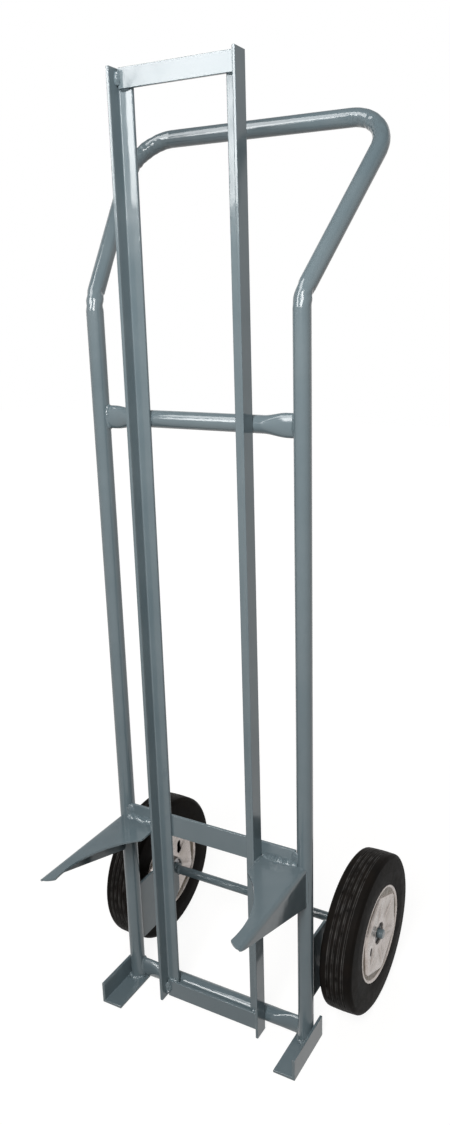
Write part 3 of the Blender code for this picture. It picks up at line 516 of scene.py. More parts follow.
def prism(outline, low, high, axes):
    """An outline drawn from low to high. axes says which of X, Y, Z its two and the length are."""
    points = np.zeros((2, len(outline), 3))
    points[:, :, axes[0]] = outline[:, 0]
    points[:, :, axes[1]] = outline[:, 1]
    points[0, :, axes[2]], points[1, :, axes[2]] = low, high
    return grid(points, wrap_columns=True, caps=True)


def turn_steps(count):
    """Angles at count even steps round a circle."""
    return np.arange(count) * 2 * math.pi / count


def about_z(radius, height, turns):
    """Points round Z, at a radius and a height for each row and perhaps for each turn."""
    return np.stack(
        [radius * np.cos(turns), radius * np.sin(turns), height + 0 * turns], axis=-1
    )


def turned(profile, steps, ring=True):
    """A profile of (radius, height) turned about Z: a ring, or solid between its two ends."""
    points = about_z(profile[:, :1], profile[:, 1:], turn_steps(steps))
    return grid(points, wrap_rows=ring, wrap_columns=True, caps=not ring)


def travelled(path):
    """How far along a path each of its points lies."""
    return np.concatenate([[0], np.linalg.norm(np.diff(path, axis=0), axis=1).cumsum()])


def tangents(path):
    """The direction of a path at each of its points."""
    along = np.gradient(path, axis=0)
    return along / np.linalg.norm(along, axis=1)[:, None]


def carried(path, start):
    """Normals along a path, carried from the first one without twisting."""
    normals, along = [np.array(start, float)], tangents(path)
    for tangent in along[1:]:
        normal = normals[-1] - (normals[-1] @ tangent) * tangent
        normals.append(normal / np.linalg.norm(normal))
    return np.array(normals)


def swept(path, normals, reach):
    """Rings round a path. reach[i, j] is how far ring i stands out at its j-th direction."""
    turns = turn_steps(reach.shape[1])
    across = np.cross(tangents(path), normals)
    directions = (
        normals[:, None] * np.cos(turns)[None, :, None]
        + across[:, None] * np.sin(turns)[None, :, None]
    )
    return path[:, None] + directions * reach[:, :, None], directions


def tube(path, normals, reach):
    """A closed tube along a path, its ends capped."""
    return grid(swept(path, normals, reach)[0], wrap_columns=True, caps=True)


def oval(half_depth, half_height, count):
    """How far an oval stands out at each of count directions. The half sizes may be columns."""
    turns = turn_steps(count)
    half_depth, half_height = np.atleast_1d(half_depth), np.atleast_1d(half_height)
    depth, height = half_depth[:, None], half_height[:, None]
    return depth * height / np.hypot(height * np.cos(turns), depth * np.sin(turns))


def drop(name):
    """Removes what an earlier run made under this name."""
    old = bpy.data.objects.get(name)
    if old:
        bpy.data.objects.remove(old, do_unlink=True)


def mesh_object(name, shape, place=(0, 0, 0)):
    """An object from points and faces. place is a point or a whole matrix."""
    points, faces = shape
    drop(name)
    mesh = bpy.data.meshes.new(name)
    mesh.from_pydata(points.tolist(), [], faces)
    work = bmesh.new()
    work.from_mesh(mesh)
    bmesh.ops.remove_doubles(work, verts=work.verts, dist=FUSE)
    bmesh.ops.dissolve_degenerate(work, edges=work.edges, dist=FUSE)
    bmesh.ops.recalc_face_normals(work, faces=work.faces)
    work.to_mesh(mesh)
    work.free()
    obj = bpy.data.objects.new(name, mesh)
    bpy.context.scene.collection.objects.link(obj)
    obj.matrix_world = place if isinstance(place, Matrix) else Matrix.Translation(place)
    return obj


def dress(obj, slot, body, sharp=40):
    """Gives a piece its finish, its shading and the body that it rides on."""
    finishes = bpy.context.scene.hand_truck.finishes
    obj.data.materials.clear()
    obj.data.materials.append(material_of(*FINISH_OF_SLOT[slot], finishes))
    obj.data.shade_smooth()
    obj.data.set_sharp_from_angle(angle=math.radians(sharp))
    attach(obj, body)


def stand_for(obj, node, sharp=40):
    """Dresses a piece as the node of the frame that it replaces."""
    dress(obj, SLOTS[node], BODIES[node], sharp)
    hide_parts(node)


def piece(node, shape, place=(0, 0, 0), sharp=40, edge=0.0):
    """A finished piece that stands for a node of the frame."""
    obj = mesh_object(f"{node}_finished", shape, place)
    if edge:
        add_edge(obj, edge)
    stand_for(obj, node, sharp)
    return obj


def mark(obj, name, values):
    """Keeps a value for each point, which a material reads by its name."""
    marks = obj.data.attributes.new(name, "FLOAT", "POINT")
    marks.data.foreach_set("value", values.astype(np.float32))


def add_edge(obj, radius, segments=3):
    """Rounds a piece's sharp edges."""
    bevel = obj.modifiers.new("edges", "BEVEL")
    bevel.width = radius
    bevel.segments = segments
    bevel.limit_method = "ANGLE"
    bevel.angle_limit = math.radians(35)
    bevel.harden_normals = True


def add_sheet(obj, thickness):
    """Gives a middle surface its thickness, half to each side."""
    sheet = obj.modifiers.new("sheet", "SOLIDIFY")
    sheet.thickness = thickness
    sheet.offset = 0
    sheet.use_even_offset = True


def cut(obj, cutter):
    """Cuts one object out of another, and removes the cutter."""
    boolean = obj.modifiers.new("cut", "BOOLEAN")
    boolean.object = cutter
    boolean.solver = "EXACT"
    settle(obj)
    bpy.data.objects.remove(cutter, do_unlink=True)


def settle(obj):
    """Makes an object's modifiers part of its mesh."""
    bpy.context.view_layer.update()
    graph = bpy.context.evaluated_depsgraph_get()
    mesh = bpy.data.meshes.new_from_object(obj.evaluated_get(graph))
    obj.modifiers.clear()
    obj.data = mesh


def seeded(name):
    """Random numbers that are the same at each run."""
    seed = bpy.context.scene.hand_truck.welds.seed
    return np.random.RandomState(seed + sum(ord(letter) * (i + 1) for i, letter in enumerate(name)))


def wander(random, count, smooth):
    """A slow random drift around 0, about -1 to 1."""
    kernel = np.hanning(2 * smooth + 3)
    noise = np.convolve(random.normal(size=count + len(kernel) - 1), kernel, mode="valid")
    return noise / math.sqrt((kernel**2).sum()) / 1.5


# Frame pieces


def post_y():
    """Where the posts' axes lie, from the frame."""
    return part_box("frame_tube")[0].y + bpy.context.scene.hand_truck.tubes.diameter / 2


def bent_path(corners, radii, turn_step=math.radians(1.5)):
    """A tube's axis, its inward directions in the bends and how far into a bend each point is."""
    path, inward, share = [corners[0]], [np.zeros(3)], [0.0]
    for before, corner, after, radius in zip(corners, corners[1:], corners[2:], radii):
        to_before = (before - corner) / np.linalg.norm(before - corner)
        to_after = (after - corner) / np.linalg.norm(after - corner)
        half = math.acos(to_before @ to_after) / 2
        towards = (to_before + to_after) / np.linalg.norm(to_before + to_after)
        centre = corner + towards * radius / math.sin(half)
        start = corner + to_before * radius / math.tan(half) - centre
        axis = np.cross(to_after, to_before)
        axis /= np.linalg.norm(axis)
        turn = math.pi - 2 * half
        steps = max(3, round(turn / turn_step))
        for i in range(steps + 1):
            a = turn * i / steps
            arm = start * math.cos(a) + np.cross(axis, start) * math.sin(a)
            path.append(centre + arm)
            inward.append(-arm / radius)
            share.append(i / steps)
    path.append(corners[-1])
    inward.append(np.zeros(3))
    share.append(0.0)
    return np.array(path), np.array(inward), np.array(share)


TUBE_SIDES = 56  # round the frame tube
ROUND_SHARE = 0.35  # how much of a bend's ripples goes all round it, and not only inside
OUTER_FLAT = 1.2  # how much a bend's outside is flattened, in wrinkle depths
DENT_SPREAD = 0.7  # how quickly a dent fades, in dent sizes
LEAST_DENT = 0.4  # the shallowest dent, in dent depths


class HANDTRUCK_OT_frame_tube(bpy.types.Operator):
    """One tube, up from a foot, back to the grip, across and down again"""

    bl_idname = "hand_truck.frame_tube"
    bl_label = "Frame tube"

    def execute(self, context):
        size = context.scene.hand_truck.tubes
        y, base = post_y(), size.base
        back = y + size.grip_setback
        corners = [
            (-size.post_spread, y, base),
            (-size.post_spread, y, size.post_bend_height),
            (-size.grip_spread, back, size.grip_height),
            (size.grip_spread, back, size.grip_height),
            (size.post_spread, y, size.post_bend_height),
            (size.post_spread, y, base),
        ]
        radii = [size.post_bend, size.grip_bend, size.grip_bend, size.post_bend]
        path, inward, share = bent_path([np.array(c) for c in corners], radii)
        radius, normals = size.diameter / 2, carried(path, (0, -1, 0))
        reach = np.full((len(path), TUBE_SIDES), radius)
        _, directions = swept(path, normals, reach)
        facing = (directions * inward[:, None]).sum(-1)
        along = travelled(path)
        ripple = 0.5 - 0.5 * np.cos(2 * math.pi * along / size.wrinkle_pitch)[:, None]
        weight = size.wrinkle_depth * np.sin(math.pi * share)[:, None]
        reach -= weight * ripple * (ROUND_SHARE + (1 - ROUND_SHARE) * facing.clip(0))
        reach -= weight * OUTER_FLAT * (-facing).clip(0) ** 2
        self.dent(reach, along, share, size)
        outer, _ = swept(path, normals, reach)
        inner, _ = swept(path, normals, np.full_like(reach, radius - size.wall))
        depth = np.array((0, 0, 2 * radius))
        ends = ([inner[0] + depth, inner[0]], [inner[-1], inner[-1] + depth])
        points = np.concatenate([ends[0], outer, ends[1]])
        piece("frame_tube", grid(points, wrap_columns=True, caps=True))
        return {"FINISHED"}

    def dent(self, reach, along, share, size):
        """Sinks the bender's marks into each bend."""
        random, turns = seeded("frame_tube"), turn_steps(TUBE_SIDES)
        spread = 2 * (size.dent_size * DENT_SPREAD) ** 2
        bends = np.flatnonzero((share > 0) & (share < 1))
        for run in np.split(bends, np.flatnonzero(np.diff(bends) > 1) + 1):
            for i in random.choice(run, size.dents):
                beside = turns - random.uniform(0, 2 * math.pi)
                beside = (beside + math.pi) % (2 * math.pi) - math.pi
                round_it = size.diameter / 2 * beside
                near = (along - along[i])[:, None] ** 2 + round_it[None, :] ** 2
                depth = size.dent_depth * random.uniform(LEAST_DENT, 1)
                reach -= depth * np.exp(-near / spread)


class HANDTRUCK_OT_cross_tubes(bpy.types.Operator):
    """Two tubes between the posts, their ends pressed oval"""

    bl_idname = "hand_truck.cross_tubes"
    bl_label = "Cross tubes"

    def execute(self, context):
        size = context.scene.hand_truck.tubes
        radius, sides, taper_rings = size.diameter / 2, 40, 16
        flat_x = size.post_spread - radius - size.pressed_length
        for node in ("upper_cross_tube", "lower_cross_tube"):
            _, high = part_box(node)
            centre = middle(node)
            taper = np.linspace(flat_x - size.taper_length, flat_x, taper_rings)
            half = np.concatenate([[0], taper, [high.x]])
            x = np.concatenate([-half[:0:-1], half])
            pressed = ((np.abs(x) - flat_x) / size.taper_length + 1).clip(0, 1)
            pressed = (1 - np.cos(math.pi * pressed)) / 2
            depth = radius + (size.pressed_depth / 2 - radius) * pressed
            tall = radius + (size.pressed_height / 2 - radius) * pressed
            path = np.stack([x, 0 * x + centre.y, 0 * x + centre.z], axis=-1)
            normals = np.tile((0.0, 1.0, 0.0), (len(x), 1))
            piece(node, tube(path, normals, oval(depth, tall, sides)))
        return {"FINISHED"}


def angle_section(leg, thickness, root_radius, toe_radius):
    """An angle's section, its heel at 0, 0 and its legs along +X and +Y."""
    corners = [
        (0, 0, 0),
        (leg, 0, 0),
        (leg, thickness, toe_radius),
        (thickness, thickness, root_radius),
        (thickness, leg, toe_radius),
        (0, leg, 0),
    ]
    return rounded(corners)


class HANDTRUCK_OT_rails(bpy.types.Operator):
    """Two rolled steel angles that the pail leans on"""

    bl_idname = "hand_truck.rails"
    bl_label = "Rails"

    def execute(self, context):
        size = context.scene.hand_truck.plates
        section = angle_section(size.rail_leg, size.thickness, size.root_radius, size.toe_radius)
        for side_name, side in SIDES.items():
            node = f"{side_name}_rail"
            low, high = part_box(node)
            outer_x = high.x if side > 0 else low.x
            outline = np.stack([outer_x - side * section[:, 0], high.y - section[:, 1]], axis=-1)
            piece(node, prism(outline, low.z, high.z, (0, 1, 2)), edge=size.edge_radius)
        return {"FINISHED"}


class HANDTRUCK_OT_flat_bars(bpy.types.Operator):
    """Three rolled flat bars across the rails"""

    bl_idname = "hand_truck.flat_bars"
    bl_label = "Flat bars"

    def execute(self, context):
        size = context.scene.hand_truck.plates
        for node in ("top_bar", "middle_bar", "bottom_bar"):
            low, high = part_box(node)
            corners = [(low.y, low.z), (high.y, low.z), (high.y, high.z), (low.y, high.z)]
            shape = prism(np.array(corners), low.x, high.x, (1, 2, 0))
            piece(node, shape, edge=size.edge_radius)
        return {"FINISHED"}


def prong_shape(node, side, size, rows=70, plate_columns=12, fold_columns=8, flange_columns=8):
    """A prong's middle surface: a plate hollowed to the pail, folded down along its outer edge."""
    low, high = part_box(node)
    half, fold = size.prong_thickness / 2, size.prong_fold
    inner_x, outer_x = sorted((abs(low.x), abs(high.x)))
    fold_x, top = outer_x - half - fold, high.z - half
    fold_z = top - fold
    tip_y, rear_y = low.y, high.y
    pail_y = post_y() - size.pail_ahead
    hollow_y = pail_y + math.sqrt(size.pail_radius**2 - inner_x**2)
    post_front = post_y() - bpy.context.scene.hand_truck.tubes.diameter / 2
    slope = (size.prong_depth - size.prong_tip_depth) / (post_front - tip_y)
    rows_points = []
    for i in range(rows + 1):
        t = i / rows
        row = []
        for j in range(plate_columns + 1):
            share = j / plate_columns
            # the tip's edge slants back to its inner corner, most of all near that corner
            reach = rear_y - tip_y - size.prong_tip_skew * (1 - share) ** 1.5
            y = rear_y - reach * t
            left = inner_x
            if y < hollow_y:
                left = math.sqrt(size.pail_radius**2 - (y - pail_y) ** 2)
            row.append((left + (fold_x - left) * share, y, top))
        y = rear_y - (rear_y - tip_y) * t
        bottom = high.z - size.prong_tip_depth - slope * (y - tip_y)
        full = math.pi / 2
        if bottom > fold_z:
            full = math.acos(min(1.0, (bottom - fold_z) / fold))
        for a in np.linspace(0, full, fold_columns + 1)[1:]:
            row.append((fold_x + fold * math.sin(a), y, fold_z + fold * math.cos(a)))
        foot_x, _, foot_z = row[-1]
        for j in range(1, flange_columns + 1):
            down = fold_z + (bottom - fold_z) * j / flange_columns
            row.append((foot_x, y, down if bottom < fold_z else foot_z))
        rows_points.append(row)
    points = np.array(rows_points)
    points[:, :, 0] *= side
    return grid(points)


class HANDTRUCK_OT_prongs(bpy.types.Operator):
    """Two plates hollowed round the pail and folded down along their outer edges"""

    bl_idname = "hand_truck.prongs"
    bl_label = "Prongs"

    def execute(self, context):
        size = context.scene.hand_truck.plates
        for side_name, side in SIDES.items():
            node = f"{side_name}_prong"
            obj = mesh_object(f"{node}_finished", prong_shape(node, side, size))
            add_sheet(obj, size.prong_thickness)
            settle(obj)
            add_edge(obj, size.edge_radius / 2, 2)
            stand_for(obj, node)
        return {"FINISHED"}


class HANDTRUCK_OT_feet(bpy.types.Operator):
    """A short, larger angle under each post"""

    bl_idname = "hand_truck.feet"
    bl_label = "Feet"

    def execute(self, context):
        size = context.scene.hand_truck.plates
        section = angle_section(size.foot_leg, size.thickness, 0, size.toe_radius)
        for side_name, side in SIDES.items():
            node = f"{side_name}_foot"
            low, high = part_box(node)
            outer_x = high.x if side > 0 else low.x
            outline = np.stack([outer_x - side * section[:, 0], low.z + section[:, 1]], axis=-1)
            piece(node, prism(outline, low.y, high.y, (0, 2, 1)), edge=size.edge_radius)
        return {"FINISHED"}


class HANDTRUCK_OT_axle_brackets(bpy.types.Operator):
    """Two upright plates that carry the axle behind the posts"""

    bl_idname = "hand_truck.axle_brackets"
    bl_label = "Axle brackets"

    def execute(self, context):
        size = context.scene.hand_truck.plates
        axle = middle("axle")
        radius = span("axle").z / 2 + GAP
        heel, corner = size.bracket_heel, size.bracket_corner
        for side_name in SIDES:
            node = f"{side_name}_axle_bracket"
            low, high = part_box(node)
            reach = math.acos((axle.y - high.y) / radius)
            seat = [
                (axle.y - radius * math.cos(a), axle.z + radius * math.sin(a), 0)
                for a in np.linspace(-reach, reach, 9)
            ]
            corners = [
                (low.y, low.z, heel),
                (high.y - size.bracket_lower_cut, low.z, corner),
                (high.y, low.z + size.bracket_lower_cut, corner),
                *seat,
                (high.y, high.z - size.bracket_upper_cut, corner),
                (high.y - size.bracket_upper_back, high.z, corner),
                (low.y, high.z, heel),
            ]
            shape = prism(rounded(corners), low.x, high.x, (1, 2, 0))
            piece(node, shape, edge=size.edge_radius)
        return {"FINISHED"}


# Wheels and axle


def across(centre, outward):
    """Places a shape so that its own Z points along the axle, to +X or to -X."""
    return Matrix.Translation(centre) @ Matrix.Rotation(outward * math.pi / 2, 4, "Y")


def ring_profile(outer, inner, half, edge):
    """A ring's section, its four edges rounded."""
    corners = [(outer, half), (outer, -half), (inner, -half), (inner, half)]
    return rounded([(radius, height, edge) for radius, height in corners])


class HANDTRUCK_OT_axle(bpy.types.Operator):
    """A steel bar across both brackets, drilled near its ends"""

    bl_idname = "hand_truck.axle"
    bl_label = "Axle"

    def execute(self, context):
        size = context.scene.hand_truck.wheels
        extent, centre = span("axle"), middle("axle")
        half, radius, chamfer = extent.x / 2, extent.z / 2, size.axle_chamfer
        corners = [
            (radius * 0.3, half, 0),  # a flat cap closes the end inside this
            (radius - chamfer, half, BREAK),
            (radius, half - chamfer, SOFT_BREAK),
            (radius, 0, 0),
        ]
        corners += [(r, -h, e) for r, h, e in reversed(corners[:-1])]
        profile = rounded(corners, closed=False)
        obj = mesh_object("axle_finished", turned(profile, 72, ring=False), across(centre, 1))
        hole = size.cotter_wire + size.cotter_slot / 2 + GAP
        drill = rounded([(hole, radius * 2, 0), (hole, -radius * 2, 0)], closed=False)
        for side_name in SIDES:
            pin = middle(f"{side_name}_cotter_pin")
            place = Matrix.Translation((pin.x, centre.y, centre.z))
            place @= Matrix.Rotation(math.pi / 2, 4, "X")
            cut(obj, mesh_object("drill", turned(drill, 24, ring=False), place))
        stand_for(obj, "axle", sharp=30)
        return {"FINISHED"}


def lathe_node(node, side, profile, steps=96, sharp=40):
    """A turned piece for a node, its origin at the middle of the node, its Z outward."""
    return piece(node, turned(profile, steps), across(middle(node), side), sharp)


class HANDTRUCK_OT_axle_ends(bpy.types.Operator):
    """A spacer inside each wheel and a washer outside it"""

    bl_idname = "hand_truck.axle_ends"
    bl_label = "Spacers and washers"

    def execute(self, context):
        bore = span("axle").z / 2 + GAP
        for side_name, side in SIDES.items():
            for part in ("spacer", "washer"):
                node = f"{side_name}_{part}"
                extent = span(node)
                profile = ring_profile(extent.z / 2, bore, extent.x / 2, BREAK)
                lathe_node(node, side, profile, 64)
        return {"FINISHED"}


class HANDTRUCK_OT_cotter_pins(bpy.types.Operator):
    """A split pin through each end of the axle, its eye in front and its legs bent behind"""

    bl_idname = "hand_truck.cotter_pins"
    bl_label = "Split pins"

    def execute(self, context):
        size = context.scene.hand_truck.wheels
        axle = middle("axle")
        wire, sides = size.cotter_wire / 2, 12
        offset = wire + size.cotter_slot / 2
        reach = span("axle").z / 2 + GAP + wire
        opening = math.asin(offset / size.cotter_eye)

        def bow(centre_y, radius, first, last, steps):
            """An arc round the axle or round the eye."""
            turns = np.linspace(first, last, steps)
            return np.stack([centre_y + radius * np.cos(turns), radius * np.sin(turns)], axis=-1)

        lower = bow(0, reach, -size.cotter_wrap, -math.asin(offset / reach), 24)
        eye = bow(-reach - size.cotter_eye, size.cotter_eye, 2 * math.pi - opening, opening, 32)
        rise = size.cotter_leg / math.sqrt(2)
        upper = [(reach - wire, offset), (reach, offset * 1.1), (reach + rise, offset + rise)]
        flat = np.concatenate([lower, eye, upper])
        path = np.stack([0 * flat[:, 0], flat[:, 0], flat[:, 1]], axis=-1)
        normals = np.tile((1.0, 0.0, 0.0), (len(path), 1))
        shape = tube(path, normals, np.full((len(path), sides), wire))
        for side_name in SIDES:
            node = f"{side_name}_cotter_pin"
            piece(node, shape, (middle(node).x, axle.y, axle.z))
        return {"FINISHED"}


CROWN_SHARE = 0.22  # half the width of a rib's flat crown, in rib pitches
GLINT_LIMIT = 0.6  # the part of that crown which never gets the painted highlight
GLINT_REACH = 1.1  # how far the painted highlight reaches on to a rib, in edge radii


class HANDTRUCK_OT_tyres(bpy.types.Operator):
    """Two solid tyres with a ribbed tread"""

    bl_idname = "hand_truck.tyres"
    bl_label = "Tyres"

    def execute(self, context):
        size = context.scene.hand_truck.wheels
        steps = 144
        for side_name, side in SIDES.items():
            node = f"{side_name}_tyre"
            profile = self.section(size, span(node))
            obj = lathe_node(node, side, profile, steps, sharp=50)
            # the ribs' edges, where the rubber gets a painted grey highlight
            mark(obj, "rubbed", np.repeat(self.rubbed(size, span(node), profile), steps))
        return {"FINISHED"}

    def tread(self, size, extent, height):
        """The tread's radius at a height along the axle, from the tyre's middle."""
        return extent.z / 2 - size.crown_drop * (height / (size.tread_width / 2)) ** 2

    def section(self, size, extent):
        """A tyre's section, from the bore round one side, over the ribs and back."""
        flank, bore, edge = extent.x / 2, size.bore / 2, size.tread_width / 2

        def tread(height):
            return self.tread(size, extent, height)

        side_top = extent.z / 2 - size.bevel_drop
        upper = [
            (bore, flank - size.bulge, size.seat_edge),
            ((bore + side_top) / 2, flank, size.side_round),
            (side_top, flank - size.bulge, size.shoulder),
            (tread(edge), edge, size.shoulder),
        ]
        ribs, crown = [], CROWN_SHARE * size.rib_pitch
        wide, narrow = size.groove_width / 2, size.groove_width / 4
        for i in range(size.ribs - 1):
            mid = size.rib_pitch * ((size.ribs - 2) / 2 - i)
            next_crown = mid + size.rib_pitch / 2
            ribs += [(tread(h), h, 0) for h in (next_crown + crown, next_crown - crown)]
            floor = tread(mid) - size.groove_depth
            ribs += [
                (tread(mid + wide), mid + wide, size.rib_edge),
                (floor, mid + narrow, size.groove_root),
                (floor, mid - narrow, size.groove_root),
                (tread(mid - wide), mid - wide, size.rib_edge),
            ]
        last_crown = -size.rib_pitch * (size.ribs - 1) / 2
        ribs += [(tread(h), h, 0) for h in (last_crown + crown, last_crown - crown)]
        lower = [(r, -h, e) for r, h, e in reversed(upper)]
        return rounded(upper + ribs + lower, steps=4)

    def rubbed(self, size, extent, profile):
        """Which points of the section lie on a rib's edge, where a grey highlight is painted."""
        radius, height = profile.T
        groove = np.abs((height / size.rib_pitch + (size.ribs % 2 + 1) / 2) % 1 - 0.5)
        rubbed = groove < 0.5 - GLINT_LIMIT * CROWN_SHARE
        rubbed &= groove * size.rib_pitch < size.groove_width / 2 + size.rib_edge * GLINT_REACH
        rubbed &= radius > self.tread(size, extent, size.tread_width / 2) - size.groove_depth / 2
        return rubbed & (np.abs(height) < size.rib_pitch * (size.ribs - 1) / 2)


BOSS_SIDES = 6
BOSS_POWER = 30  # the higher, the sharper the boss's corners
DISH_BLEND = 0.2  # the share of the boss over which its slope starts
TUCK, TUCK_FROM = 0.22, 0.9  # the boss's edge sinks by this share of its rise, from here out
CREASE_PEAK = 0.7  # under 1, a crease is highest nearer the hub
FLANK_SHADE, FLANK_REACH = 0.6, 3  # how much shade is painted beside a crease, and how far, in widths
STEP_SHADE = 0.5  # how much shade is painted at the foot of the boss's sloping edge


def ease(share):
    """From 0 to 1 with a soft start and a soft end."""
    return share * share * (3 - 2 * share)


def rim_shape(size, hole, skirt_foot, flank, columns=240):
    """Half a rim as a middle surface, from the hole outwards, and how much shade is painted on it.
    """
    turns = turn_steps(columns)
    skirt = size.bore / 2 - size.seat_gap - size.sheet / 2
    lip_top = flank - size.lip_inset - size.sheet / 2
    floor = lip_top - size.floor_depth
    crest = floor + size.boss_rise
    dish = crest - size.dish_drop
    half_side = math.pi / BOSS_SIDES
    apothem = size.boss_corner * math.cos(half_side)
    faces = [turns - half_side - k * 2 * half_side for k in range(BOSS_SIDES)]
    boss = sum((np.cos(f).clip(0) / apothem) ** BOSS_POWER for f in faces) ** (-1 / BOSS_POWER)
    inner_boss = boss * (1 - size.boss_step / size.boss_corner)
    from_corner = (turns + half_side) % (2 * half_side) - half_side
    rows, shaded = [], []

    def add(radius, height, share=0.0):
        """One ring of points, and how much shade is painted there."""
        rows.append((radius + 0 * turns, height + 0 * turns))
        shaded.append(share + 0 * turns)

    for share in np.linspace(0, 1, 6):
        add(hole + (size.dish_radius - hole) * share, dish)
    for share in np.linspace(0, 1, 24)[1:]:
        radius = size.dish_radius + (inner_boss - size.dish_radius) * share
        out = apothem * radius / boss - size.dish_radius
        climb = (out / (apothem - size.boss_step - size.dish_radius)).clip(0, 1)
        climb = climb * ease(min(1.0, share / DISH_BLEND))
        climb = climb * (1 - TUCK * ease(max(0.0, (share - TUCK_FROM) / (1 - TUCK_FROM))))
        beside = radius * from_corner / size.crease_width
        strength = math.sin(math.pi * share**CREASE_PEAK)
        crease = strength * np.exp(-(beside**2))
        flanks = strength * np.exp(-((beside / FLANK_REACH) ** 2)) - crease
        height = dish + (crest - dish) * climb + size.crease_height * crease
        add(radius, height, FLANK_SHADE * flanks)
    last = rows[-1][1]
    for share in np.linspace(0, 1, 8)[1:]:
        radius = inner_boss + (boss - inner_boss) * share
        add(radius, last + (floor - last) * ease(share), STEP_SHADE * share**4)
    # the recess between the boss and the lip gets painted shade in full, a dark brown that also
    # paints the reflection of a brown floor; it fades out up the lip
    lip_foot = skirt - size.lip_width
    for share in np.linspace(0, 1, 5)[1:]:
        add(boss + (lip_foot - boss) * share, floor, 1.0)
    for share in np.linspace(0, 1, 7)[1:]:
        radius = lip_foot + (skirt - size.bead - lip_foot) * share
        add(radius, floor + (lip_top - floor) * ease(share), (1 - share) ** 3)
    for a in np.linspace(0, math.pi / 2, 6)[1:]:
        add(skirt - size.bead + size.bead * math.sin(a), lip_top - size.bead * (1 - math.cos(a)))
    add(skirt, skirt_foot)
    radii, heights = np.array(rows).transpose(1, 0, 2)
    return grid(about_z(radii, heights, turns), wrap_columns=True), np.array(shaded).ravel()


class HANDTRUCK_OT_rim_halves(bpy.types.Operator):
    """Four pressed half rims, each a six-sided boss inside a lip"""

    bl_idname = "hand_truck.rim_halves"
    bl_label = "Rim halves"

    def execute(self, context):
        size = context.scene.hand_truck.wheels
        for side_name, side in SIDES.items():
            tyre = f"{side_name}_tyre"
            for half, outward in (("outer", side), ("inner", -side)):
                node = f"{side_name}_{half}_rim_half"
                hole = size.hub_hole / 2 if half == "outer" else size.hub_diameter / 2 + GAP
                shape, shaded = rim_shape(size, hole, GAP / 2, span(tyre).x / 2)
                matrix = across(middle(tyre), outward) @ Matrix.Rotation(size.rim_turn, 4, "Z")
                obj = mesh_object(f"{node}_finished", shape, matrix)
                # the painted shade, which the silver paint reads
                mark(obj, "thin_paint", shaded)
                add_sheet(obj, size.sheet)
                settle(obj)
                if half == "outer":
                    self.drill_valve_hole(obj, size, matrix)
                else:
                    self.cut_slot(obj, size, matrix)
                stand_for(obj, node, sharp=32)
        return {"FINISHED"}

    def drill_valve_hole(self, obj, size, matrix):
        """A round hole in the outer half, through which the valve is reached."""
        radius, depth = size.valve_hole / 2, size.bore
        drill = np.array([(radius, depth), (radius, -depth)])
        place = matrix @ Matrix.Rotation(size.valve_turn, 4, "Z")
        place @= Matrix.Translation((size.valve_offset, 0, 0))
        cut(obj, mesh_object("drill", turned(drill, 40, ring=False), place))

    def cut_slot(self, obj, size, matrix):
        """A slot with round ends in the inner half."""
        half, wide, depth = size.slot_length / 2, size.slot_width / 2, size.bore
        corners = [(-wide, -half), (wide, -half), (wide, half), (-wide, half)]
        round_ends = 0.999 * wide  # quite round ends would leave sides of no length
        outline = rounded([(x, y, round_ends) for x, y in corners], steps=9)
        place = matrix @ Matrix.Rotation(size.slot_turn, 4, "Z")
        place @= Matrix.Translation((size.slot_offset, 0, 0))
        place @= Matrix.Rotation(size.slot_lean, 4, "Z")
        cut(obj, mesh_object("slot", prism(outline, -depth, depth, (0, 1, 2)), place))


class HANDTRUCK_OT_hubs(bpy.types.Operator):
    """A hub tube through each wheel, with a shoulder for each bearing"""

    bl_idname = "hand_truck.hubs"
    bl_label = "Hub tubes"

    def execute(self, context):
        size = context.scene.hand_truck.wheels
        outer, fine = size.hub_diameter / 2, 0.0003
        seat = outer - size.hub_wall
        shoulder = seat - size.hub_shoulder
        for side_name, side in SIDES.items():
            node = f"{side_name}_hub_tube"
            half = span(node).x / 2
            stops = []
            for end, way in (("outer", 1), ("inner", -1)):
                race = f"{side_name}_{end}_bearing_outer_race"
                out = side * (middle(race).x - middle(node).x)
                stops.append(out - way * (span(race).x / 2 + GAP))
            corners = [
                (outer, half, BREAK),
                (outer, -half, BREAK),
                (seat, -half, SOFT_BREAK),
                (seat, stops[1], 0),
                (shoulder, stops[1], fine),
                (shoulder, stops[0], fine),
                (seat, stops[0], 0),
                (seat, half, SOFT_BREAK),
            ]
            lathe_node(node, side, rounded(corners, steps=3))
        return {"FINISHED"}


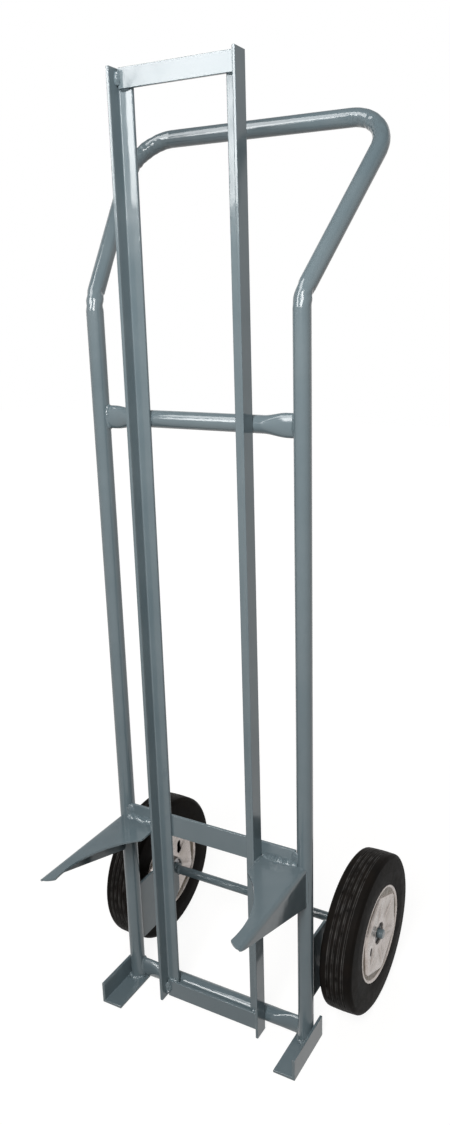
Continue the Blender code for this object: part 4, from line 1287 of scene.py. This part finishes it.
class HANDTRUCK_OT_bearings(bpy.types.Operator):
    """Two shielded ball bearings for each wheel"""

    bl_idname = "hand_truck.bearings"
    bl_label = "Bearings"

    def execute(self, context):
        size = context.scene.hand_truck.wheels
        fine, finer, finest, race_edge = 0.0003, 0.0002, 0.0001, 0.0005
        fit = 0.0001  # a race sits closer on the axle than GAP
        shaft = span("axle").z / 2 + fit
        for side_name, side in SIDES.items():
            for end, outward in (("outer", side), ("inner", -side)):
                node = f"{side_name}_{end}_bearing_outer_race"
                outer, half = span(node).z / 2, span(node).x / 2
                bore = outer - size.race_wall
                shield_bore = size.inner_race / 2 + GAP
                top = half - size.shield_recess
                under = top - size.shield
                corners = [
                    (outer, half, SOFT_BREAK),
                    (outer, -half, SOFT_BREAK),
                    (bore, -half, fine),
                    (bore, under, 0),
                    (shield_bore, under, 0),
                    (shield_bore, top, finer),
                    (bore - size.crimp_width, top, finer),
                    (bore - size.crimp_width * 2 / 3, top - size.crimp_depth, finest),
                    (bore, top - size.crimp_depth, 0),
                    (bore, half, fine),
                ]
                lathe_node(node, outward, rounded(corners, steps=3))
                inner = f"{side_name}_{end}_bearing_inner_race"
                ring = ring_profile(size.inner_race / 2, shaft, half, race_edge)
                lathe_node(inner, outward, ring)
        return {"FINISHED"}


# Welds

BEAD_SIDES = 18
RIPPLE_CREST = 0.6  # under 1, a ripple is steep behind and flat ahead
RIPPLE_RISE, RIPPLE_WIDTH = 0.40, 0.07  # what the ripples make of a bead's rise and width
# how much each measure of a bead wanders, as a share of it
PITCH_WANDER, RISE_WANDER, WIDTH_WANDER, SIDE_WANDER = 0.25, 0.26, 0.16, 0.10
LEAST_END = 0.02  # keeps a bead's ends from closing to a point
# how far a bead across a rail stops from the rail's edges, and from its inner edge at a bar
RAIL_MARGIN, BAR_MARGIN = 0.002, 0.003


def bead(name, path, facing, width, rise):
    """A rope of weld metal along a path, half sunk in the joint, with ripples and lumps."""
    size = bpy.context.scene.hand_truck.welds
    path, facing = np.array(path, float), np.array(facing, float)
    along_path = travelled(path)
    total = along_path[-1]
    steps = max(8, int(total / (size.pitch / 4)))
    at = np.linspace(0, total, steps)
    line = np.stack([np.interp(at, along_path, path[:, k]) for k in range(3)], axis=-1)
    up = np.stack([np.interp(at, along_path, facing[:, k]) for k in range(3)], axis=-1)
    along = tangents(line)
    up -= (up * along).sum(1)[:, None] * along
    up /= np.linalg.norm(up, axis=1)[:, None]
    random = seeded(name)
    beat = size.pitch * (1 + PITCH_WANDER * wander(random, steps, 9))
    phase = (np.gradient(at) / beat).cumsum()
    ripple = (phase % 1) ** RIPPLE_CREST
    ends = np.sqrt((1 - np.abs(2 * at / total - 1) ** (2 + total / width)).clip(LEAST_END))
    tall = rise * ends * (1 - RIPPLE_RISE * (1 - ripple))
    tall *= 1 + RISE_WANDER * wander(random, steps, 7)
    wide = width / 2 * ends * (1 - RIPPLE_WIDTH * (1 - ripple))
    wide *= 1 + WIDTH_WANDER * wander(random, steps, 9)
    sway = np.cross(along, up) * (SIDE_WANDER * width * wander(random, steps, 12))[:, None]
    return tube(line + sway, up, oval(tall, wide, BEAD_SIDES))


def straight(start, end, up, size):
    """What bead() needs for a straight bead: its path, its facing, its width and its rise."""
    return [start, end], [up, up], *size


class HANDTRUCK_OT_welds(bpy.types.Operator):
    """Beads of weld metal at every joint of the frame, painted over"""

    bl_idname = "hand_truck.welds"
    bl_label = "Welds"

    def execute(self, context):
        truck, weld = context.scene.hand_truck, context.scene.hand_truck.welds
        usual = (weld.width, weld.rise)
        for side_name, side in SIDES.items():
            low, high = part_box(f"{side_name}_rail")
            rail_x = sorted((abs(low.x), abs(high.x)))
            groups = {
                "bar": self.bar_beads(truck, side, rail_x, high.y, usual),
                "prong": self.prong_beads(truck, side_name, side, rail_x[1], usual),
                "cross_tube": self.cross_beads(truck, side, rail_x, usual),
                "foot": self.foot_beads(truck, side),
                "bracket": self.bracket_beads(side_name, side, usual),
            }
            for group, beads in groups.items():
                name = f"{side_name}_{group}_welds"
                shapes = [bead(f"{name}{i}", *values) for i, values in enumerate(beads)]
                dress(mesh_object(name, joined(shapes)), "grey_enamel", "frame", sharp=60)
        return {"FINISHED"}

    def bar_beads(self, truck, side, rail_x, rail_back, usual):
        """Ends and edges of the top and bottom bars on a rail, and the middle bar behind it."""
        end_size = (truck.welds.end_width, truck.welds.end_rise)
        sunk, proud, short = 0.0005, 0.0006, 0.0035  # into a face, off it, before an edge
        inner, outer = side * (rail_x[0] + BAR_MARGIN), side * (rail_x[1] - RAIL_MARGIN)
        leg = side * truck.plates.thickness
        beads = []
        for node, edge_up in (("top_bar", -1), ("bottom_bar", 1)):
            low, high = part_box(node)
            edge = low.z if edge_up < 0 else high.z
            foot, head = (
                (side * (high.x - sunk), low.y + sunk, z) for z in (low.z + short, high.z - short)
            )
            start, end = (inner, high.y, edge), (outer - leg, high.y, edge)
            beads += [
                straight(foot, head, (-0.75 * side, -0.66, 0), end_size),
                straight(start, end, (0, -0.6, 0.8 * edge_up), usual),
            ]
        low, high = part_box("middle_bar")
        back = rail_back + proud
        for edge, way in ((low.z, -1), (high.z, 1)):
            start, end = (side * (rail_x[0] + RAIL_MARGIN), back, edge), (outer, back, edge)
            beads.append(straight(start, end, (0, 0.6, 0.8 * way), usual))
        return beads

    def prong_beads(self, truck, side_name, side, rail_edge, usual):
        """Beads on a prong's rear edge, at the rail, before the middle bar and down the flange."""
        weld, post_x = truck.welds, truck.tubes.post_spread
        low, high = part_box(f"{side_name}_prong")
        bar_low, bar_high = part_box("middle_bar")

        def run(x, first, last, up, size):
            """A bead from one (y, z) to another. x is both ends' distance from the middle."""
            x0, x1 = x if isinstance(x, tuple) else (x, x)
            return straight((side * x0, *first), (side * x1, *last), up, size)

        # on the rear edge, just inside it and above the top, from the rail to the post
        sunk, above, off_rail, off_post = 0.002, 0.001, 0.001, 0.0075
        rear = (high.y - sunk, high.z + above)
        rear_x = (rail_edge + off_rail, post_x - off_post)
        # beside the rail, from near to far before the rear edge
        beside, near, far = 0.0004, 0.004, 0.024
        # up the middle bar's front at the post, from the prong to the bar's top
        inside, foot_out, head_in, under = 0.0005, 0.0006, 0.0004, 0.001
        # down the flange's rear edge, on its outer face, short of both ends
        outside, before, short = 0.0005, 0.001, 0.006
        return [
            run(rear_x, rear, rear, (0, -0.55, 0.83), (weld.broad_width, weld.broad_rise)),
            run(
                rail_edge + beside,
                (high.y - near, high.z),
                (high.y - far, high.z),
                (0.7 * side, 0, 0.7),
                usual,
            ),
            run(
                bar_high.x - inside,
                (bar_low.y - foot_out, high.z - under),
                (bar_low.y + head_in, bar_high.z - under),
                (-0.2 * side, -1, 0),
                (weld.post_width, weld.post_rise),
            ),
            run(
                max(abs(low.x), abs(high.x)) + outside,
                (high.y - before, low.z + short),
                (high.y - before, high.z - short),
                (0.8 * side, -0.6, 0),
                (weld.flange_width, weld.flange_rise),
            ),
        ]

    def cross_beads(self, truck, side, rail_x, usual):
        """The saddle where each cross tube meets a post, and beads behind the rail."""
        size, y_post = truck.tubes, post_y()
        radius, beads = size.diameter / 2, []
        turns = np.linspace(0, 2 * math.pi, 49)
        ahead, above = 0.88 * radius, 0.55 * radius  # of the tube's middle
        for node in ("upper_cross_tube", "lower_cross_tube"):
            centre = middle(node)
            y = centre.y + size.pressed_depth / 2 * np.cos(turns)
            z = centre.z + size.pressed_height / 2 * np.sin(turns)
            reach = np.sqrt(radius**2 - (y - y_post) ** 2)
            path = np.stack([side * (size.post_spread - reach), y, z], axis=-1)
            oval_out = np.stack([0 * y, np.cos(turns), np.sin(turns)], axis=-1)
            post_out = np.stack([-side * reach / radius, (y - y_post) / radius, 0 * y], axis=-1)
            beads.append((path, oval_out + post_out, *usual))
            for way in (-1, 1):
                start, end = (
                    (side * x, centre.y - ahead, centre.z + way * above)
                    for x in (rail_x[0] + RAIL_MARGIN, rail_x[1] - RAIL_MARGIN)
                )
                beads.append(straight(start, end, (0, 0.3, way), usual))
        return beads

    def foot_beads(self, truck, side):
        """A ring of weld round the base of a post."""
        turns = np.linspace(0, 2 * math.pi, 61)
        out = np.stack([np.cos(turns), np.sin(turns), 0 * turns], axis=-1)
        lift = 0.0012  # from the foot to the ring's middle line
        base_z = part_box("frame_tube")[0].z + lift
        base = np.array((side * truck.tubes.post_spread, post_y(), base_z))
        path = base + truck.tubes.diameter / 2 * out
        return [(path, out + (0, 0, 1), truck.welds.foot_width, truck.welds.foot_rise)]

    def bracket_beads(self, side_name, side, usual):
        """Beads down both faces of a bracket at the post, and round the axle inside it."""
        low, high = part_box(f"{side_name}_axle_bracket")
        axle, beads = middle("axle"), []
        short = 0.004  # before the bracket's upper and lower edges
        for x, out in ((low.x, -1), (high.x, 1)):
            start, end = (x, low.y, low.z + short), (x, low.y, high.z - short)
            beads.append(straight(start, end, (out, 0.5, 0), usual))
        turns = np.radians(np.linspace(110, 250, 24))
        out = np.stack([0 * turns, np.cos(turns), np.sin(turns)], axis=-1)
        inner_x = low.x if side > 0 else high.x
        ring = np.array((inner_x, axle.y, axle.z)) + out * span("axle").z / 2
        return [*beads, (ring, out + (-side, 0, 0), *usual)]


# Stage

# Each softbox: its place, its aim, its width and height, and whether it lights surfaces and
# shows in their gloss. Window and top are bright cards that only the gloss shows. Rear is kept
# out of the gloss of the prongs' tops, which face it.
SOFTBOXES = {
    "key": ((0.48, -1.50, 1.80), (0, 0, 0.95), (0.7, 0.9), True, True),
    "window": ((-1.15, -2.05, 2.05), (0, 0, 1.3), (0.75, 1.0), False, True),
    "rear": ((-0.60, 1.70, 2.00), (0, 0, 0.9), (1.0, 1.0), True, False),
    "top": ((-0.80, -0.90, 2.50), (0, 0, 1.3), (0.9, 0.9), False, True),
}
CAMERA_PLACE = (0.6851, -1.0867, 1.1406)
CAMERA_TURN = (74.446, 0.579, 27.032)  # degrees
CAMERA_LENS, CAMERA_SHIFT = 28.08, -0.056


def seen_share(tree):
    """1 for rays from the camera or off gloss or through glass, which see the white backdrop."""
    path = add_node(tree, "LightPath")
    total = path.outputs["Is Camera Ray"]
    for name in ("Is Glossy Ray", "Is Transmission Ray"):
        rays = {0: total, 1: path.outputs[name]}
        total = add_node(tree, "Math", rays, operation="ADD", use_clamp=True)
    return total


def white_paper(tree, stage):
    """Matt white background paper: it shines white to the camera and still takes a shadow."""
    fibre = patches(tree, size=0.4, low=0.95, high=1.0)
    tones = {SHARE: fibre, FIRST: rgba(stage.fibre), SECOND: rgba(stage.floor)}
    colour = add_node(tree, "Mix", tones, data_type="RGBA").outputs[BLEND]
    matt = add_node(tree, "BsdfDiffuse", {"Color": colour})
    place = add_node(tree, "TexCoord").outputs["Object"]
    distance = add_node(tree, "VectorMath", {0: place}, operation="LENGTH")
    reach = {"Value": distance.outputs["Value"], "From Min": stage.near, "From Max": stage.far}
    ends = {"To Min": stage.glow, "To Max": 1.0}
    rise = add_node(tree, "MapRange", {**reach, **ends}, interpolation_type="SMOOTHSTEP")
    glow = add_node(tree, "Emission", {"Color": WHITE, "Strength": rise})
    both = add_node(tree, "AddShader", {0: matt, 1: glow})
    return add_node(tree, "MixShader", {0: seen_share(tree), 1: matt, 2: both})


class HANDTRUCK_OT_stage(bpy.types.Operator):
    """White floor and backdrop, soft lights and the camera"""

    bl_idname = "hand_truck.stage"
    bl_label = "Stage"

    def execute(self, context):
        stage = context.scene.hand_truck.stage
        half, below = stage.floor_size / 2, -0.0005  # just under the feet and the tyres
        corners = [(-half, -half, 0), (half, -half, 0), (half, half, 0), (-half, half, 0)]
        floor = mesh_object("floor", (np.array(corners), [[0, 1, 2, 3]]), (0, 0, below))
        floor.data.materials.append(material_of("matt_background_paper", white_paper, stage))
        self.make_world(context, stage)
        for name, (place, aim, size, lights, shows) in SOFTBOXES.items():
            card = self.softbox(name, Vector(place), Vector(aim), size, getattr(stage, name))
            card.visible_diffuse, card.visible_glossy = lights, shows
        self.make_camera(context)
        return {"FINISHED"}

    def make_world(self, context, stage):
        """A weak sky lights the truck. Camera and gloss see white paper, greyer overhead."""
        world = bpy.data.worlds.new("studio")
        world.use_nodes = True
        tree = world.node_tree
        tree.nodes.clear()
        sky = add_node(tree, "Background", {"Color": WHITE, "Strength": stage.sky})
        way = add_node(tree, "TexCoord").outputs["Generated"]
        rise = add_node(tree, "SeparateXYZ", {0: way}).outputs["Z"]
        band = {"Value": rise, "From Min": 0.35, "From Max": 0.7}
        overhead = add_node(tree, "MapRange", band, interpolation_type="SMOOTHSTEP")
        tones = {SHARE: overhead, FIRST: WHITE, SECOND: rgba(stage.ceiling)}
        paper = add_node(tree, "Mix", tones, data_type="RGBA").outputs[BLEND]
        white = add_node(tree, "Background", {"Color": paper, "Strength": 1.0})
        shader = add_node(tree, "MixShader", {0: seen_share(tree), 1: sky, 2: white})
        add_node(tree, "OutputWorld", {"Surface": shader})
        context.scene.world = world
        context.scene.view_settings.view_transform = "Standard"

    def softbox(self, name, place, aim, size, power):
        """A square-cornered area lamp that faces its aim."""
        drop(name)
        light = bpy.data.lights.new(name, "AREA")
        light.shape = "RECTANGLE"
        light.size, light.size_y = size
        light.energy = power
        obj = bpy.data.objects.new(name, light)
        bpy.context.scene.collection.objects.link(obj)
        obj.location = place
        obj.rotation_euler = (aim - place).to_track_quat("-Z", "Y").to_euler()
        return obj

    def make_camera(self, context):
        """The camera that the photograph was taken with, solved from the truck's own edges."""
        drop("camera")
        lens = bpy.data.cameras.new("camera")
        lens.sensor_width = 36.0
        lens.lens, lens.shift_x = CAMERA_LENS, CAMERA_SHIFT
        lens.clip_start = 0.01
        camera = bpy.data.objects.new("camera", lens)
        context.scene.collection.objects.link(camera)
        camera.location = CAMERA_PLACE
        camera.rotation_euler = [math.radians(a) for a in CAMERA_TURN]
        context.scene.camera = camera


# Add-on


OPERATORS = (
    HANDTRUCK_OT_frame_tube,
    HANDTRUCK_OT_cross_tubes,
    HANDTRUCK_OT_rails,
    HANDTRUCK_OT_flat_bars,
    HANDTRUCK_OT_prongs,
    HANDTRUCK_OT_feet,
    HANDTRUCK_OT_axle_brackets,
    HANDTRUCK_OT_axle,
    HANDTRUCK_OT_axle_ends,
    HANDTRUCK_OT_cotter_pins,
    HANDTRUCK_OT_tyres,
    HANDTRUCK_OT_rim_halves,
    HANDTRUCK_OT_hubs,
    HANDTRUCK_OT_bearings,
    HANDTRUCK_OT_welds,
    HANDTRUCK_OT_stage,
)


class HANDTRUCK_PT_panel(bpy.types.Panel):
    """Lists the pieces of the hand truck"""

    bl_idname = "HANDTRUCK_PT_panel"
    bl_label = "Pail hand truck"
    bl_space_type = "VIEW_3D"
    bl_region_type = "UI"
    bl_category = "Hand truck"

    def draw(self, context):
        for operator in OPERATORS:
            self.layout.operator(operator.bl_idname)


CLASSES = (
    TubeSizes,
    PlateSizes,
    WheelSizes,
    WeldSizes,
    Finishes,
    StageSettings,
    TruckSettings,
    *OPERATORS,
    HANDTRUCK_PT_panel,
)


def register():
    for cls in CLASSES:
        bpy.utils.register_class(cls)
    bpy.types.Scene.hand_truck = PointerProperty(type=TruckSettings)


def unregister():
    del bpy.types.Scene.hand_truck
    for cls in reversed(CLASSES):
        bpy.utils.unregister_class(cls)


def main():
    register()
    for operator in OPERATORS:
        getattr(bpy.ops.hand_truck, operator.bl_idname.split(".")[1])()


if __name__ == "__main__":
    main()
